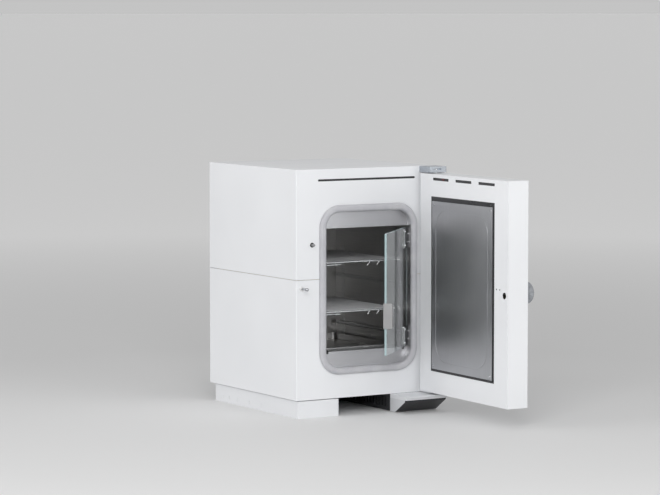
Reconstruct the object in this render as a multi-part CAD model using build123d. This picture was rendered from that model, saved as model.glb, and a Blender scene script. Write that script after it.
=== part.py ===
from build123d import *
import math
import os

# Laboratory incubator: a bench cabinet with a thick side-hinged door and an inner glass door.
# Millimetres. X runs to the right as seen from the front, Y to the back and Z up.
# The origin lies on the floor, under the centre of the cabinet.

# Cabinet
BODY_W = 502.0
BODY_D = 536.0
BODY_H = 700.0
PLINTH_H = 55.0
SHEET = 1.5
EDGE_R = 2.5
SEAM_H = 366.0
SEAM_GAP = 1.2
FIT = 0.3

# Chamber, measured inside its liner
CHAMBER_W = 308.0
CHAMBER_H = 410.0
CHAMBER_D = 420.0
CHAMBER_FLOOR_H = 125.0
CHAMBER_SHIFT = 5.0
LINER_T = 1.2

# Throat in the front panel, the lips above and below the chamber, and the gasket round them
THROAT_H = 474.0
THROAT_H_FROM_BASE = 93.5
THROAT_R = 48.0
THROAT_DEPTH = 18.0
THROAT_FLANGE = 14.0
LIP_H = 47.0
LIP_TOP_H = 50.0
LIP_RETURN = 14.0
GASKET_W = 21.5
GASKET_T = 10.3

# Slot and door switch in the front panel
SLOT_L = 349.0
SLOT_H = 6.4
SLOT_FROM_TOP = 34.2
SWITCH_FROM_LEFT = 56.0
SWITCH_Z = 471.0
SWITCH_R = 5.0
SWITCH_OUT = 13.4
SWITCH_TRAVEL = 3.0

# Striker pin
PIN_FROM_LEFT = 19.0
PIN_Z = 340.0
PIN_R = 3.5
PIN_NECK_R = 2.5
PIN_HEAD_R = 5.2
PIN_OUT = 36.0
PIN_HEAD_L = 4.5
PIN_NECK_L = 6.0
COLLAR_OUT = 6.0

# Outer door
DOOR_T = 73.0
DOOR_GAP = 14.0
DOOR_BOTTOM = 6.0
DOOR_TOP_GAP = 21.0
DOOR_ANGLE = 87.6
HINGE_FROM_SIDE = 32.0
HINGE_FROM_FACE = 36.0
HINGE_PIN_R = 5.0
HINGE_PIN_DEPTH = 16.0
RUNNING = 0.06
PRESSED = 0.02
BUSH_T = 2.5
DOOR_SHEET = 1.5

# Bracket over the door and bracket under it
BRACKET_W = 60.0
BRACKET_D = 62.0
BRACKET_H = 18.0
BRACKET_SLOT_H = 4.5
LOWER_BRACKET_T = 3.5
LOWER_BRACKET_H = 40.0
LOWER_LEG_T = 1.2

# Recess, surround and plate on the door's inner face
PLATE_W = 346.0
PLATE_H = 515.0
PLATE_Z = 339.5
PLATE_T = 2.0
PLATE_PROUD = 2.0
BORDER_SIDE = 9.0
BORDER_TOP = 14.0
BORDER_BOTTOM = 8.5
SURROUND_DEPTH = 9.0
SURROUND_LIP = 0.8
BEAD_INSET_SIDE = 22.0
BEAD_INSET_TOP = 24.0
BEAD_R = 62.0
BEAD_W = 5.0
BEAD_DEPTH = 0.8
PLATE_SCREW_INSET = 10.5
SCREW_HEAD_R = 3.2
SCREW_HEAD_T = 1.6

# Displays at the top of the door
DISPLAY_COUNT = 3
DISPLAY_W = 91.0
DISPLAY_PITCH = 131.0
DISPLAY_H = 26.0
INNER_SLOT_H = 8.5
INNER_SLOT_FROM_TOP = 14.5
KEY_R = 6.0
KEY_PITCH = 22.0
CORE_TOP = 44.0

# Knob and latch
KNOB_FROM_EDGE = 51.5
KNOB_Z = 343.0
KNOB_R = 32.5
KNOB_H = 30.0
COLLAR_R = 28.0
COLLAR_H = 8.0
SPINDLE_R = 6.0
CAM_T = 3.0
CAM_TRAVEL = 60.0
SLOT_LEAD = 14.0
JOURNAL_R = 4.0
LATCH_CAVITY_R = 46.0
LATCH_CAVITY_D = 46.0
LATCH_HOLE_R = 10.0
LATCH_SCREW_X = (42.5, 60.5)
LATCH_SCREW_Z = 356.0
LATCH_SCREW_R = 2.4

# Inner glass door
GLASS_T = 6.0
GLASS_W = 289.0
GLASS_BOTTOM = 145.3
GLASS_TOP = 512.5
GLASS_ANGLE = 45.0
GLASS_BACK = 14.0
GLASS_PIVOT_GAP = 6.0
CLAMP_W = 45.0
CLAMP_H = 60.0
CLAMP_T = 2.5
CLAMP_INSET = 3.0
GLASS_PIN_R = 2.5
KNUCKLE_R = 5.0
KNUCKLE_GAP = 0.4
HANDLE_H = 76.0
HANDLE_Z = 266.0
HANDLE_WALL = 3.0
HANDLE_OUT = 18.0
HANDLE_GRIP = 9.0
HANDLE_WRAP = 16.0
BUMPER_W = 7.0
BUMPER_H = 13.0
BUMPER_FROM_WALL = 17.0

# Shelves and their rails
SHELF_LEVELS = (182.5, 258.5, 334.5, 410.5)
LOWER_LEVEL = 1
UPPER_LEVEL = 3
RAIL_H = 10.0
RAIL_DEPTH = 8.0
RAIL_T = 1.0
RAIL_FRONT = 62.0
SHELF_FRONT = 56.0
WIRE_R = 2.5
CROSS_R = 1.5
STUB_DROP = 7.0
MESH_T = 1.4
MESH_COLUMNS = 6
MESH_ROWS = 12
STRAND = 5.0
PAN_H = 22.0
PAN_T = 1.0

# Plinths and the unit between them
PLINTH_INSET = 6.0
PLINTH_BACK = 24.0
PLINTH_W = 144.0
RIGHT_PLINTH_W = 60.0
PLINTH_T = 2.0
PLINTH_NECK = 2.5
SOLE_W = 14.0
HOLE_ROW = (223.5, 297.0, 369.0, 422.0, 460.0)
HOLE_PAIR = 6.0
HOLE_R = 1.5
HOLE_Z = 17.0
UNIT_FROM_RIGHT = 16.0
UNIT_W = 150.0
UNIT_HOUSING_W = 96.0
UNIT_D = 440.0
UNIT_CLEAR = 1.5
UNIT_NOSE = 98.0
UNIT_LIP = 12.0
UNIT_LIP_SLOPE = 6.0
UNIT_TOE = 29.0
LOUVRE_PITCH = 18.0
LOUVRE_W = 8.0
LOUVRE_H = 30.0
LOUVRES = 18

# Sheets, wool and fittings inside and at the back
PAN_FOLD = 12.0
HEATER_T = 2.0
TOP_WOOL = 70.0
REAR_WOOL = 55.0
REAR_SLOT_ROWS = 6
REAR_SLOT_L = 70.0
REAR_SLOT_H = 5.0
REAR_SLOT_PITCH = 12.0
REAR_SLOT_TOP = 45.0
REAR_SLOT_X = 120.0
REAR_SCREW_INSET = 9.0
PROBE_FROM_MIDDLE = -10.0
PROBE_HEIGHT = 350.0
PROBE_R = 4.0
PROBE_OUT = 60.0
PROBE_SEAT = 12.0
PORT_FROM_MIDDLE = -90.0
PORT_HEIGHT = 330.0
PORT_R = 21.0
PORT_WALL = 2.0
INLET_X = -190.0
INLET_HEIGHT = 70.0
INLET_W = 28.0
INLET_H = 48.0
GAS_X = (-60.0, -25.0)
GAS_FROM_TOP = 150.0
GAS_R = 6.0

# Places worked out from the sizes above
LEFT = -BODY_W / 2
RIGHT = BODY_W / 2
FRONT = -BODY_D / 2
BACK = BODY_D / 2
BASE = PLINTH_H
TOP = BASE + BODY_H
SEAM_Z = BASE + SEAM_H
MID_X = CHAMBER_SHIFT
THROAT_W = CHAMBER_W - 2
THROAT_Z = BASE + THROAT_H_FROM_BASE + THROAT_H / 2
THROAT_BOTTOM = THROAT_Z - THROAT_H / 2
THROAT_TOP = THROAT_Z + THROAT_H / 2
LIP_LOW_Z = THROAT_BOTTOM + LIP_H
LIP_HIGH_Z = THROAT_TOP - LIP_TOP_H
CHAMBER_LEFT = MID_X - CHAMBER_W / 2
CHAMBER_RIGHT = MID_X + CHAMBER_W / 2
CHAMBER_FRONT = FRONT + THROAT_DEPTH + LINER_T + FIT
CHAMBER_BACK = CHAMBER_FRONT + CHAMBER_D
FLOOR_Z = BASE + CHAMBER_FLOOR_H
CEILING_Z = FLOOR_Z + CHAMBER_H
DOOR_INNER_Y = FRONT - DOOR_GAP
DOOR_OUTER_Y = DOOR_INNER_Y - DOOR_T
DOOR_LOW = BASE + DOOR_BOTTOM
DOOR_HIGH = TOP - DOOR_TOP_GAP
HINGE_X = RIGHT - HINGE_FROM_SIDE
HINGE_Y = DOOR_INNER_Y - HINGE_FROM_FACE
KNOB_X = LEFT + KNOB_FROM_EDGE
PIN_X = LEFT + PIN_FROM_LEFT
GLASS_RIGHT = MID_X + THROAT_W / 2 - 13.0
GLASS_LEFT = GLASS_RIGHT - GLASS_W
GLASS_MID_Y = FRONT + GLASS_BACK - GLASS_T / 2
GLASS_PIVOT_X = GLASS_RIGHT + GLASS_PIVOT_GAP
DISPLAY_Z = DOOR_HIGH - INNER_SLOT_FROM_TOP - 4.0
PLATE_MID_Z = BASE + PLATE_Z
RECESS_W = PLATE_W + 2 * BORDER_SIDE
RECESS_H = PLATE_H + BORDER_TOP + BORDER_BOTTOM
RECESS_Z = PLATE_MID_Z + (BORDER_TOP - BORDER_BOTTOM) / 2
PROBE_X = MID_X + PROBE_FROM_MIDDLE
PROBE_Z = FLOOR_Z + PROBE_HEIGHT
PORT_X = MID_X + PORT_FROM_MIDDLE
PORT_Z = FLOOR_Z + PORT_HEIGHT
INLET_Z = BASE + INLET_HEIGHT
GAS_Z = TOP - GAS_FROM_TOP
UNIT_X = RIGHT - UNIT_FROM_RIGHT - UNIT_W


def block(x, y, z):
    """A box between two X, two Y and two Z places."""
    size = Box(x[1] - x[0], y[1] - y[0], z[1] - z[0])
    return Pos((x[0] + x[1]) / 2, (y[0] + y[1]) / 2, (z[0] + z[1]) / 2) * size


def upright(x, z, width, height, radius, y):
    """A plate with round corners that stands upright between two Y places."""
    plane = Plane(origin=(x, y[0], z), x_dir=(1, 0, 0), z_dir=(0, 1, 0))
    return extrude(plane * RectangleRounded(width, height, radius), y[1] - y[0])


def rod_y(x, z, radius, y):
    """A round bar along Y."""
    plane = Plane(origin=(x, y[0], z), x_dir=(1, 0, 0), z_dir=(0, 1, 0))
    return extrude(plane * Circle(radius), y[1] - y[0])


def rod_z(x, y, radius, z):
    """A round bar along Z."""
    return Pos(x, y, (z[0] + z[1]) / 2) * Cylinder(radius, z[1] - z[0])


def rod_x(y, z, radius, x):
    """A round bar along X."""
    plane = Plane(origin=(x[0], y, z), x_dir=(0, 1, 0), z_dir=(1, 0, 0))
    return extrude(plane * Circle(radius), x[1] - x[0])


def side_profile(points, x):
    """A closed outline of Y and Z places, extruded between two X places."""
    plane = Plane(origin=(x[0], 0, 0), x_dir=(0, 1, 0), z_dir=(1, 0, 0))
    return extrude(plane * make_face(Polyline(*points, close=True)), x[1] - x[0])


def round_edges(solid, axis, radius, keep):
    """The solid with the edges along an axis rounded where keep(centre) is true."""
    edges = [e for e in solid.edges().filter_by(axis) if keep(e.center())]
    return fillet(edges, radius)


def swing(solid, x, y, angle):
    """A closed leaf turned open about its upright hinge."""
    return solid.rotate(Axis((x, y, 0), (0, 0, 1)), angle)


def open_door(solid):
    """A piece of the outer door, turned to its rest angle."""
    return swing(solid, HINGE_X, HINGE_Y, DOOR_ANGLE)


def open_glass(solid):
    """A piece of the glass door, turned to its rest angle."""
    return swing(solid, GLASS_PIVOT_X, GLASS_MID_Y, GLASS_ANGLE)


def cover(z, top):
    """One folded cover: front and both sides, and the top where it has one."""
    outer = block((LEFT, RIGHT), (FRONT, BACK), z)
    outer = round_edges(outer, Axis.Z, EDGE_R, lambda c: c.Y < 0)
    roof = z[1] - SHEET if top else z[1] + 1
    inner = block((LEFT + SHEET, RIGHT - SHEET), (FRONT + SHEET, BACK + 1), (z[0] - 1, roof))
    shell = outer - inner
    hole = upright(
        MID_X,
        THROAT_Z,
        THROAT_W + 2 * (LINER_T + FIT),
        THROAT_H + 2 * (LINER_T + FIT),
        THROAT_R + LINER_T + FIT,
        (FRONT - 1, FRONT + SHEET + 1),
    )
    return shell - hole


def upper_cover():
    shell = cover((SEAM_Z + SEAM_GAP / 2, TOP), True)
    shell = round_edges(shell, Axis.X, SHEET * 0.6, lambda c: c.Z > TOP - 0.1 and c.Y < FRONT + 0.1)
    slot_z = TOP - SLOT_FROM_TOP
    slot = upright(0, slot_z, SLOT_L, SLOT_H, SLOT_H / 2 - 0.05, (FRONT - 1, FRONT + SHEET + 1))
    hole = rod_y(
        LEFT + SWITCH_FROM_LEFT, BASE + SWITCH_Z, SWITCH_R + 2 + FIT, (FRONT - 1, FRONT + SHEET + 1)
    )
    return shell - slot - hole


def lower_cover():
    shell = cover((BASE, SEAM_Z - SEAM_GAP / 2), False)
    hole = rod_y(PIN_X, BASE + PIN_Z, PIN_R + FIT, (FRONT - 1, FRONT + SHEET + 1))
    return shell - hole


def base_pan():
    """The bottom sheet, with its edge folded up inside the lower cover."""
    gap = SHEET + FIT
    x = (LEFT + gap, RIGHT - gap)
    y = (FRONT + gap, BACK - SHEET - 2 * FIT)
    pan = block(x, y, (BASE, BASE + PAN_FOLD))
    inner = block(
        (x[0] + SHEET, x[1] - SHEET), (y[0] + SHEET, y[1] - SHEET), (BASE + SHEET, BASE + PAN_FOLD + 1)
    )
    return pan - inner


def rear_panel():
    """The back sheet, with two banks of slots, and holes for the ports."""
    gap = SHEET + FIT
    z = (BASE + FIT, TOP - gap)
    panel = block((LEFT + gap, RIGHT - gap), (BACK - SHEET, BACK), z)
    for side in (-1, 1):
        for row in range(REAR_SLOT_ROWS):
            z_slot = TOP - REAR_SLOT_TOP - row * REAR_SLOT_PITCH
            x_slot = side * REAR_SLOT_X
            panel -= upright(x_slot, z_slot, REAR_SLOT_L, REAR_SLOT_H, 2.4, (BACK - 3, BACK + 1))
    panel -= rod_y(PORT_X, PORT_Z, PORT_R + FIT, (BACK - 3, BACK + 1))
    panel -= upright(INLET_X, INLET_Z, INLET_W + FIT, INLET_H + FIT, 1.0, (BACK - 3, BACK + 1))
    for x in GAS_X:
        panel -= rod_y(x, GAS_Z, GAS_R + FIT, (BACK - 3, BACK + 1))
    return panel


def rear_screws():
    """Pan-head screws along both upright edges of the back sheet."""
    screws = []
    rows = 4
    low = BASE + 30
    step = (TOP - 30 - low) / (rows - 1)
    for x in (LEFT + REAR_SCREW_INSET, RIGHT - REAR_SCREW_INSET):
        for row in range(rows):
            screws.append(rod_y(x, low + row * step, SCREW_HEAD_R, (BACK, BACK + SCREW_HEAD_T)))
    return Compound(children=screws)


def insulation_blocks():
    """Five blocks of mineral wool: left, right, bottom, top and back of the liner."""
    gap = SHEET + 2 * FIT
    x_out = (LEFT + gap, RIGHT - gap)
    wall = LINER_T + HEATER_T + 2 * FIT
    x_in = (CHAMBER_LEFT - wall, CHAMBER_RIGHT + wall)
    z_in = (FLOOR_Z - wall, CEILING_Z + wall)
    z_out = (BASE + SHEET + FIT, z_in[1] + TOP_WOOL)
    y_front = FRONT + gap
    y_flat = FRONT + THROAT_DEPTH + LINER_T + 2 * FIT
    y_back = CHAMBER_BACK + LINER_T + FIT
    pan_in = SHEET + FIT
    x_low = (x_out[0] + pan_in, x_out[1] - pan_in)
    y_low = y_front + pan_in
    y_rear = y_back + REAR_WOOL
    left = block((x_low[0], x_in[0]), (y_low, y_back - FIT), z_out)
    right = block((x_in[1], x_low[1]), (y_low, y_back - FIT), z_out)
    bottom = block((x_in[0] + FIT, x_in[1] - FIT), (y_flat, y_back - FIT), (z_out[0], z_in[0]))
    top = block((x_in[0] + FIT, x_in[1] - FIT), (y_flat, y_back - FIT), (z_in[1], z_out[1]))
    back = block(x_low, (y_back, y_rear), z_out)
    back -= rod_y(PORT_X, PORT_Z, PORT_R + FIT, (y_back - 1, y_rear + 1))
    probe = rod_y(PROBE_X, PROBE_Z, PROBE_R + FIT, (y_back - 1, y_back + PROBE_SEAT))
    back -= probe
    return Compound(children=[left, right, bottom, top, back])


def chamber_liner():
    """The stainless tank: five walls with round upright corners at the back."""
    x = (CHAMBER_LEFT, CHAMBER_RIGHT)
    outer = block(
        (x[0] - LINER_T, x[1] + LINER_T),
        (CHAMBER_FRONT, CHAMBER_BACK + LINER_T),
        (FLOOR_Z - LINER_T, CEILING_Z + LINER_T),
    )
    inner = block(x, (CHAMBER_FRONT - 1, CHAMBER_BACK), (FLOOR_Z, CEILING_Z))
    tank = outer - inner
    tank -= rod_y(PORT_X, PORT_Z, PORT_R + FIT, (CHAMBER_BACK - 1, CHAMBER_BACK + LINER_T + 1))
    tank -= rod_y(PROBE_X, PROBE_Z, PROBE_R + FIT, (CHAMBER_BACK - 1, CHAMBER_BACK + LINER_T + 1))
    return tank


def front_frame():
    """The drawn stainless frame: flange, round-cornered throat, lips and their folded returns."""
    flange = upright(
        MID_X,
        THROAT_Z,
        THROAT_W + 2 * THROAT_FLANGE,
        THROAT_H + 2 * THROAT_FLANGE,
        THROAT_R + THROAT_FLANGE,
        (FRONT - LINER_T, FRONT - FIT / 3),
    )
    wall = upright(
        MID_X,
        THROAT_Z,
        THROAT_W + 2 * LINER_T,
        THROAT_H + 2 * LINER_T,
        THROAT_R + LINER_T,
        (FRONT - LINER_T, FRONT + THROAT_DEPTH + LINER_T),
    )
    throat = upright(
        MID_X, THROAT_Z, THROAT_W, THROAT_H, THROAT_R, (FRONT - 2 * LINER_T, FRONT + THROAT_DEPTH)
    )
    window = block(
        (MID_X - THROAT_W / 2, MID_X + THROAT_W / 2),
        (FRONT, FRONT + THROAT_DEPTH + 2 * LINER_T),
        (LIP_LOW_Z, LIP_HIGH_Z),
    )
    frame = flange + wall - throat - window
    inside = FIT + LINER_T
    x = (CHAMBER_LEFT + inside, CHAMBER_RIGHT - inside)
    y = (FRONT + THROAT_DEPTH, FRONT + THROAT_DEPTH + LIP_RETURN)
    frame += block(x, y, (LIP_LOW_Z - LINER_T, LIP_LOW_Z))
    frame += block(x, y, (LIP_HIGH_Z, LIP_HIGH_Z + LINER_T))
    return frame


def door_gasket():
    """The silicone ring on the flange, round on its front like a D."""
    y_root = FRONT - LINER_T - FIT / 3
    y_tip = y_root - GASKET_T
    ring = upright(
        MID_X,
        THROAT_Z,
        THROAT_W + 2 * GASKET_W,
        THROAT_H + 2 * GASKET_W,
        THROAT_R + GASKET_W,
        (y_tip, y_root),
    )
    ring -= upright(MID_X, THROAT_Z, THROAT_W, THROAT_H, THROAT_R, (y_tip - 1, y_root + 1))
    front_edges = [e for e in ring.edges() if abs(e.center().Y - y_tip) < 0.01]
    return fillet(front_edges, GASKET_T - 1.5)


def slot_trim():
    """The dark strip that closes the long slot from behind, with its clip ends."""
    z = TOP - SLOT_FROM_TOP
    strip = upright(
        0, z, SLOT_L - FIT, SLOT_H - FIT, SLOT_H / 2 - FIT, (FRONT + SHEET / 2, FRONT + SHEET + FIT)
    )
    backing = upright(0, z, SLOT_L + 14, SLOT_H + 12, 4, (FRONT + SHEET + FIT, FRONT + SHEET + 3))
    return strip + backing


def door_switch_body():
    x = LEFT + SWITCH_FROM_LEFT
    z = BASE + SWITCH_Z
    y_back = FRONT + SHEET + 0.8
    body = rod_y(x, z, SWITCH_R + 2, (FRONT - 1.2, y_back))
    return body - rod_y(x, z, SWITCH_R - 1 + RUNNING, (FRONT - 3, y_back + 1))


def door_switch_button():
    x = LEFT + SWITCH_FROM_LEFT
    z = BASE + SWITCH_Z
    stem = rod_y(x, z, SWITCH_R - 1, (FRONT - SWITCH_OUT, FRONT + SHEET - SWITCH_TRAVEL))
    tip = [e for e in stem.edges() if abs(e.center().Y - (FRONT - SWITCH_OUT)) < 0.01]
    return fillet(tip, 2.5)


def striker_pin():
    """A turned pin: shank, neck for the cam and a round-nosed head."""
    head = PIN_OUT - PIN_HEAD_L
    neck = head - PIN_NECK_L
    z = BASE + PIN_Z
    pin = rod_y(PIN_X, z, PIN_R, (FRONT - neck, FRONT + SHEET + 1))
    pin += rod_y(PIN_X, z, PIN_NECK_R, (FRONT - head, FRONT - neck))
    tip = rod_y(PIN_X, z, PIN_HEAD_R, (FRONT - PIN_OUT, FRONT - head))
    nose = [e for e in tip.edges() if abs(e.center().Y - (FRONT - PIN_OUT)) < 0.01]
    pin += fillet(nose, PIN_HEAD_L * 0.6)
    return pin


def striker_collar():
    z = BASE + PIN_Z
    y = (FRONT - COLLAR_OUT, FRONT - FIT / 3)
    ring = rod_y(PIN_X, z, PIN_R + 3.5, y) - rod_y(PIN_X, z, PIN_R + RUNNING, (y[0] - 1, y[1] + 1))
    rim = [e for e in ring.edges() if abs(e.center().Y - y[0]) < 0.01]
    return chamfer(rim, 0.6)


def hinge_bracket_top():
    """The block over the door's top corner, slotted from its left side, with the pin's hole."""
    x = (RIGHT - BRACKET_W, RIGHT)
    y = (FRONT - BRACKET_D, FRONT - FIT / 3)
    z = (TOP - BRACKET_H, TOP)
    body = block(x, y, z)
    body = round_edges(body, Axis.Z, 3, lambda c: c.Y < FRONT - BRACKET_D / 2)
    mid = (z[0] + z[1]) / 2 + 1
    cut = (mid - BRACKET_SLOT_H / 2, mid + BRACKET_SLOT_H / 2)
    body -= block((x[0] + 8, x[1] - 20), (y[0] - 1, y[0] + 9), cut)
    body -= rod_z(HINGE_X, HINGE_Y, HINGE_PIN_R + RUNNING, (z[0] - 1, z[1] - 3))
    for side in (-1, 1):
        x_screw = (x[0] + x[1]) / 2 + side * (BRACKET_W / 2 - 12)
        body -= rod_z(x_screw, FRONT - 12, SCREW_HEAD_R + 1, (z[1] - 3, z[1] + 1))
    return body


def hinge_bracket_bottom():
    """A shelf under the door, with a thin upright leg that the door's corner swings past."""
    x = (RIGHT - BRACKET_W, RIGHT)
    y = (FRONT - BRACKET_D, FRONT - FIT / 3)
    z = (BASE + 1, BASE + 1 + LOWER_BRACKET_T)
    shelf = block(x, y, z)
    shelf = round_edges(shelf, Axis.Z, 6, lambda c: c.Y < FRONT - BRACKET_D / 2)
    leg = block(x, (y[1] - LOWER_LEG_T, y[1]), (z[0], z[0] + LOWER_BRACKET_H))
    leg = round_edges(leg, Axis.Y, 6, lambda c: c.Z > z[1] + 1)
    return shelf + leg - rod_z(HINGE_X, HINGE_Y, HINGE_PIN_R + RUNNING, (z[0] - 1, z[1] + 1))


def hinge_pins():
    """Two pins, one down into the door from the top bracket and one up from the bottom one."""
    high = rod_z(
        HINGE_X, HINGE_Y, HINGE_PIN_R, (DOOR_HIGH - HINGE_PIN_DEPTH, TOP - BRACKET_H + 10)
    )
    low = rod_z(
        HINGE_X, HINGE_Y, HINGE_PIN_R, (BASE + 1, DOOR_LOW + HINGE_PIN_DEPTH)
    )
    return Compound(children=[high, low])


def foot(x, row_wall):
    """One folded foot, open below, with a neck on top that leaves the shadow gap."""
    y = (FRONT, BACK - PLINTH_BACK)
    shoulder = BASE - PLINTH_NECK
    box = round_edges(block(x, y, (0, shoulder)), Axis.Z, 1.0, lambda c: True)
    box += block((x[0] + 10, x[1] - 10), (y[0] + 10, y[1] - 10), (shoulder - 1, BASE - FIT / 3))
    sole = SOLE_W
    box -= block(
        (x[0] + PLINTH_T, x[1] - PLINTH_T),
        (y[0] + PLINTH_T, y[1] - PLINTH_T),
        (PLINTH_T, shoulder - PLINTH_T),
    )
    box -= block((x[0] + sole, x[1] - sole), (y[0] + sole, y[1] - sole), (-1, PLINTH_T + 1))
    for distance in HOLE_ROW:
        for z in (HOLE_Z - HOLE_PAIR / 2, HOLE_Z + HOLE_PAIR / 2):
            box -= rod_x(
                FRONT + distance, z, HOLE_R, (row_wall - PLINTH_T - 0.5, row_wall + PLINTH_T + 0.5)
            )
    return box


def plinth():
    """The left foot and the narrow right foot, tied by a channel at the back."""
    left_x = (LEFT + PLINTH_INSET, LEFT + PLINTH_INSET + PLINTH_W)
    right_x = (RIGHT - PLINTH_INSET - RIGHT_PLINTH_W, RIGHT - PLINTH_INSET)
    y_back = BACK - PLINTH_BACK
    frame = foot(left_x, left_x[0]) + foot(right_x, right_x[1])
    y = (y_back - SOLE_W, y_back)
    x = (left_x[1] - PLINTH_T / 2, right_x[0] + PLINTH_T / 2)
    shoulder = BASE - PLINTH_NECK
    frame += block(x, y, (0, PLINTH_T))
    frame += block(x, y, (shoulder - PLINTH_T, shoulder))
    frame += block(x, (y_back - PLINTH_T, y_back), (0, shoulder))
    return frame


def service_unit_housing():
    """The dark box that hangs under the base, louvred along its left side."""
    x = (UNIT_X + 2, UNIT_X + 2 + UNIT_HOUSING_W)
    y = (FRONT + FIT, FRONT + UNIT_D)
    z = (UNIT_CLEAR, BASE - FIT / 3)
    body = block(x, y, z)
    body = round_edges(body, Axis.Y, 2, lambda c: c.Z < BASE / 2)
    wall = 2.0
    body -= block((x[0] + wall, x[1] - wall), (y[0] + wall, y[1] - wall), (z[0] + wall, z[1] - wall))
    middle = (z[0] + z[1]) / 2
    for i in range(LOUVRES):
        y_slot = y[0] + 24 + i * LOUVRE_PITCH
        body -= block(
            (x[0] - 1, x[0] + wall + 1),
            (y_slot, y_slot + LOUVRE_W),
            (middle - LOUVRE_H / 2, middle + LOUVRE_H / 2),
        )
    return body


def service_unit_nose():
    """The front moulding: upright left cheek, sloping face that runs back to the floor."""
    lip_z = BASE - UNIT_LIP
    points = [
        (FRONT - FIT, lip_z - FIT),
        (FRONT - UNIT_NOSE + UNIT_LIP_SLOPE, lip_z - FIT),
        (FRONT - UNIT_TOE, UNIT_CLEAR),
        (FRONT - FIT, UNIT_CLEAR),
    ]
    nose = side_profile(points, (UNIT_X, UNIT_X + UNIT_W))
    return round_edges(nose, Axis.X, 3, lambda c: c.Y < FRONT - 10)


def service_unit_lip():
    """The cap on top of the nose, with its front edge leaning out."""
    lip_z = BASE - UNIT_LIP
    points = [
        (FRONT - FIT, lip_z),
        (FRONT - UNIT_NOSE + UNIT_LIP_SLOPE, lip_z),
        (FRONT - UNIT_NOSE, BASE - 0.5),
        (FRONT - FIT, BASE - 0.5),
    ]
    cap = side_profile(points, (UNIT_X, UNIT_X + UNIT_W))
    return round_edges(cap, Axis.X, 2.5, lambda c: c.Y < FRONT - 10 and c.Z > lip_z + 1)


def rail_rack(side):
    """One side rack: two posts on the liner wall and a folded channel on each level."""
    wall = CHAMBER_LEFT if side < 0 else CHAMBER_RIGHT
    y = (FRONT + RAIL_FRONT, CHAMBER_BACK - 12)
    face = wall - side * FIT

    def across(depth, start=0.0):
        ends = (face - side * start, face - side * (start + depth))
        return (min(ends), max(ends))

    rack = None
    for y_post in (y[0] + 30, y[1] - 40):
        post = block(
            across(RAIL_T), (y_post, y_post + 14), (FLOOR_Z + 15, BASE + SHELF_LEVELS[-1] + 20)
        )
        rack = post if rack is None else rack + post
    for level in SHELF_LEVELS:
        low = BASE + level - RAIL_H / 2 - 1
        channel = block(across(RAIL_DEPTH), y, (low, low + RAIL_H))
        channel -= block(
            across(RAIL_DEPTH, RAIL_T), (y[0] - 1, y[1] - 2), (low + RAIL_T, low + RAIL_H - RAIL_T)
        )
        rack += channel
    return rack


def shelf_z(level):
    """The height of a shelf's wires, which rest on the channel's lower flange."""
    return BASE + SHELF_LEVELS[level] - RAIL_H / 2 - 1 + RAIL_T + WIRE_R + FIT


def shelf(level):
    """A wire frame with cross wires, a stub bar and two bent hooks under its front edge."""
    clear = RAIL_T + 1.0
    x = (CHAMBER_LEFT + clear + WIRE_R, CHAMBER_RIGHT - clear - WIRE_R)
    y = (FRONT + SHELF_FRONT + WIRE_R, CHAMBER_BACK - 20)
    z = shelf_z(level)
    frame = rod_x(y[0], z, WIRE_R, x) + rod_x(y[1], z, WIRE_R, x)
    for x_wire in (x[0], x[1]):
        frame += rod_y(x_wire, z, WIRE_R, (y[0] - WIRE_R, y[1] + WIRE_R))
    for i in range(1, 4):
        y_wire = y[0] + (y[1] - y[0]) * i / 4
        frame += rod_x(y_wire, z + WIRE_R - CROSS_R, CROSS_R, x)
    stub_z = z - STUB_DROP
    frame += rod_x(y[0], stub_z, 1.8, (x[0] + 8, x[0] + 86))
    frame += rod_z(x[0] + 12, y[0], 1.8, (stub_z, z))
    for x_hook in (x[1] - 106, x[1] - 72):
        frame += hook(x_hook, y[0], z)
    return frame


def hook(x, y, z):
    """A wire bent down and aside, as a stop for the shelf."""
    length = 15.0
    lean = 40.0
    leg = Pos(x, y, z - 1) * Rot(0, lean, 0) * Pos(0, 0, -length / 2) * Cylinder(1.6, length)
    return leg


def shelf_mesh(level):
    """Expanded metal on top of the frame: rows of staggered diamonds."""
    clear = RAIL_T + 1.0 + 2 * WIRE_R + 0.4
    x = (CHAMBER_LEFT + clear, CHAMBER_RIGHT - clear)
    y = (FRONT + SHELF_FRONT + 0.5, CHAMBER_BACK - 20 + WIRE_R)
    width = x[1] - x[0]
    depth = y[1] - y[0]
    long_way = (width - 2 * STRAND) / MESH_COLUMNS
    short_way = (depth - 2 * STRAND) / MESH_ROWS
    half_l = (long_way - STRAND) / 2
    half_s = (short_way - STRAND * 0.7) / 2
    diamond = Polyline((half_l, 0), (0, half_s), (-half_l, 0), (0, -half_s), close=True)
    cutter = make_face(diamond)
    places = []
    for row in range(MESH_ROWS):
        for column in range(MESH_COLUMNS):
            places.append(((column + 0.5) * long_way, (row + 0.5) * short_way))
    for row in range(1, MESH_ROWS):
        for column in range(1, MESH_COLUMNS):
            places.append((column * long_way, row * short_way))
    start = (-width / 2 + STRAND, -depth / 2 + STRAND)
    holes = [Pos(start[0] + a, start[1] + b) * cutter for a, b in places]
    sheet = Rectangle(width, depth) - holes
    z = shelf_z(level) + WIRE_R
    return Pos((x[0] + x[1]) / 2, (y[0] + y[1]) / 2, z) * extrude(sheet, MESH_T)


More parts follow.
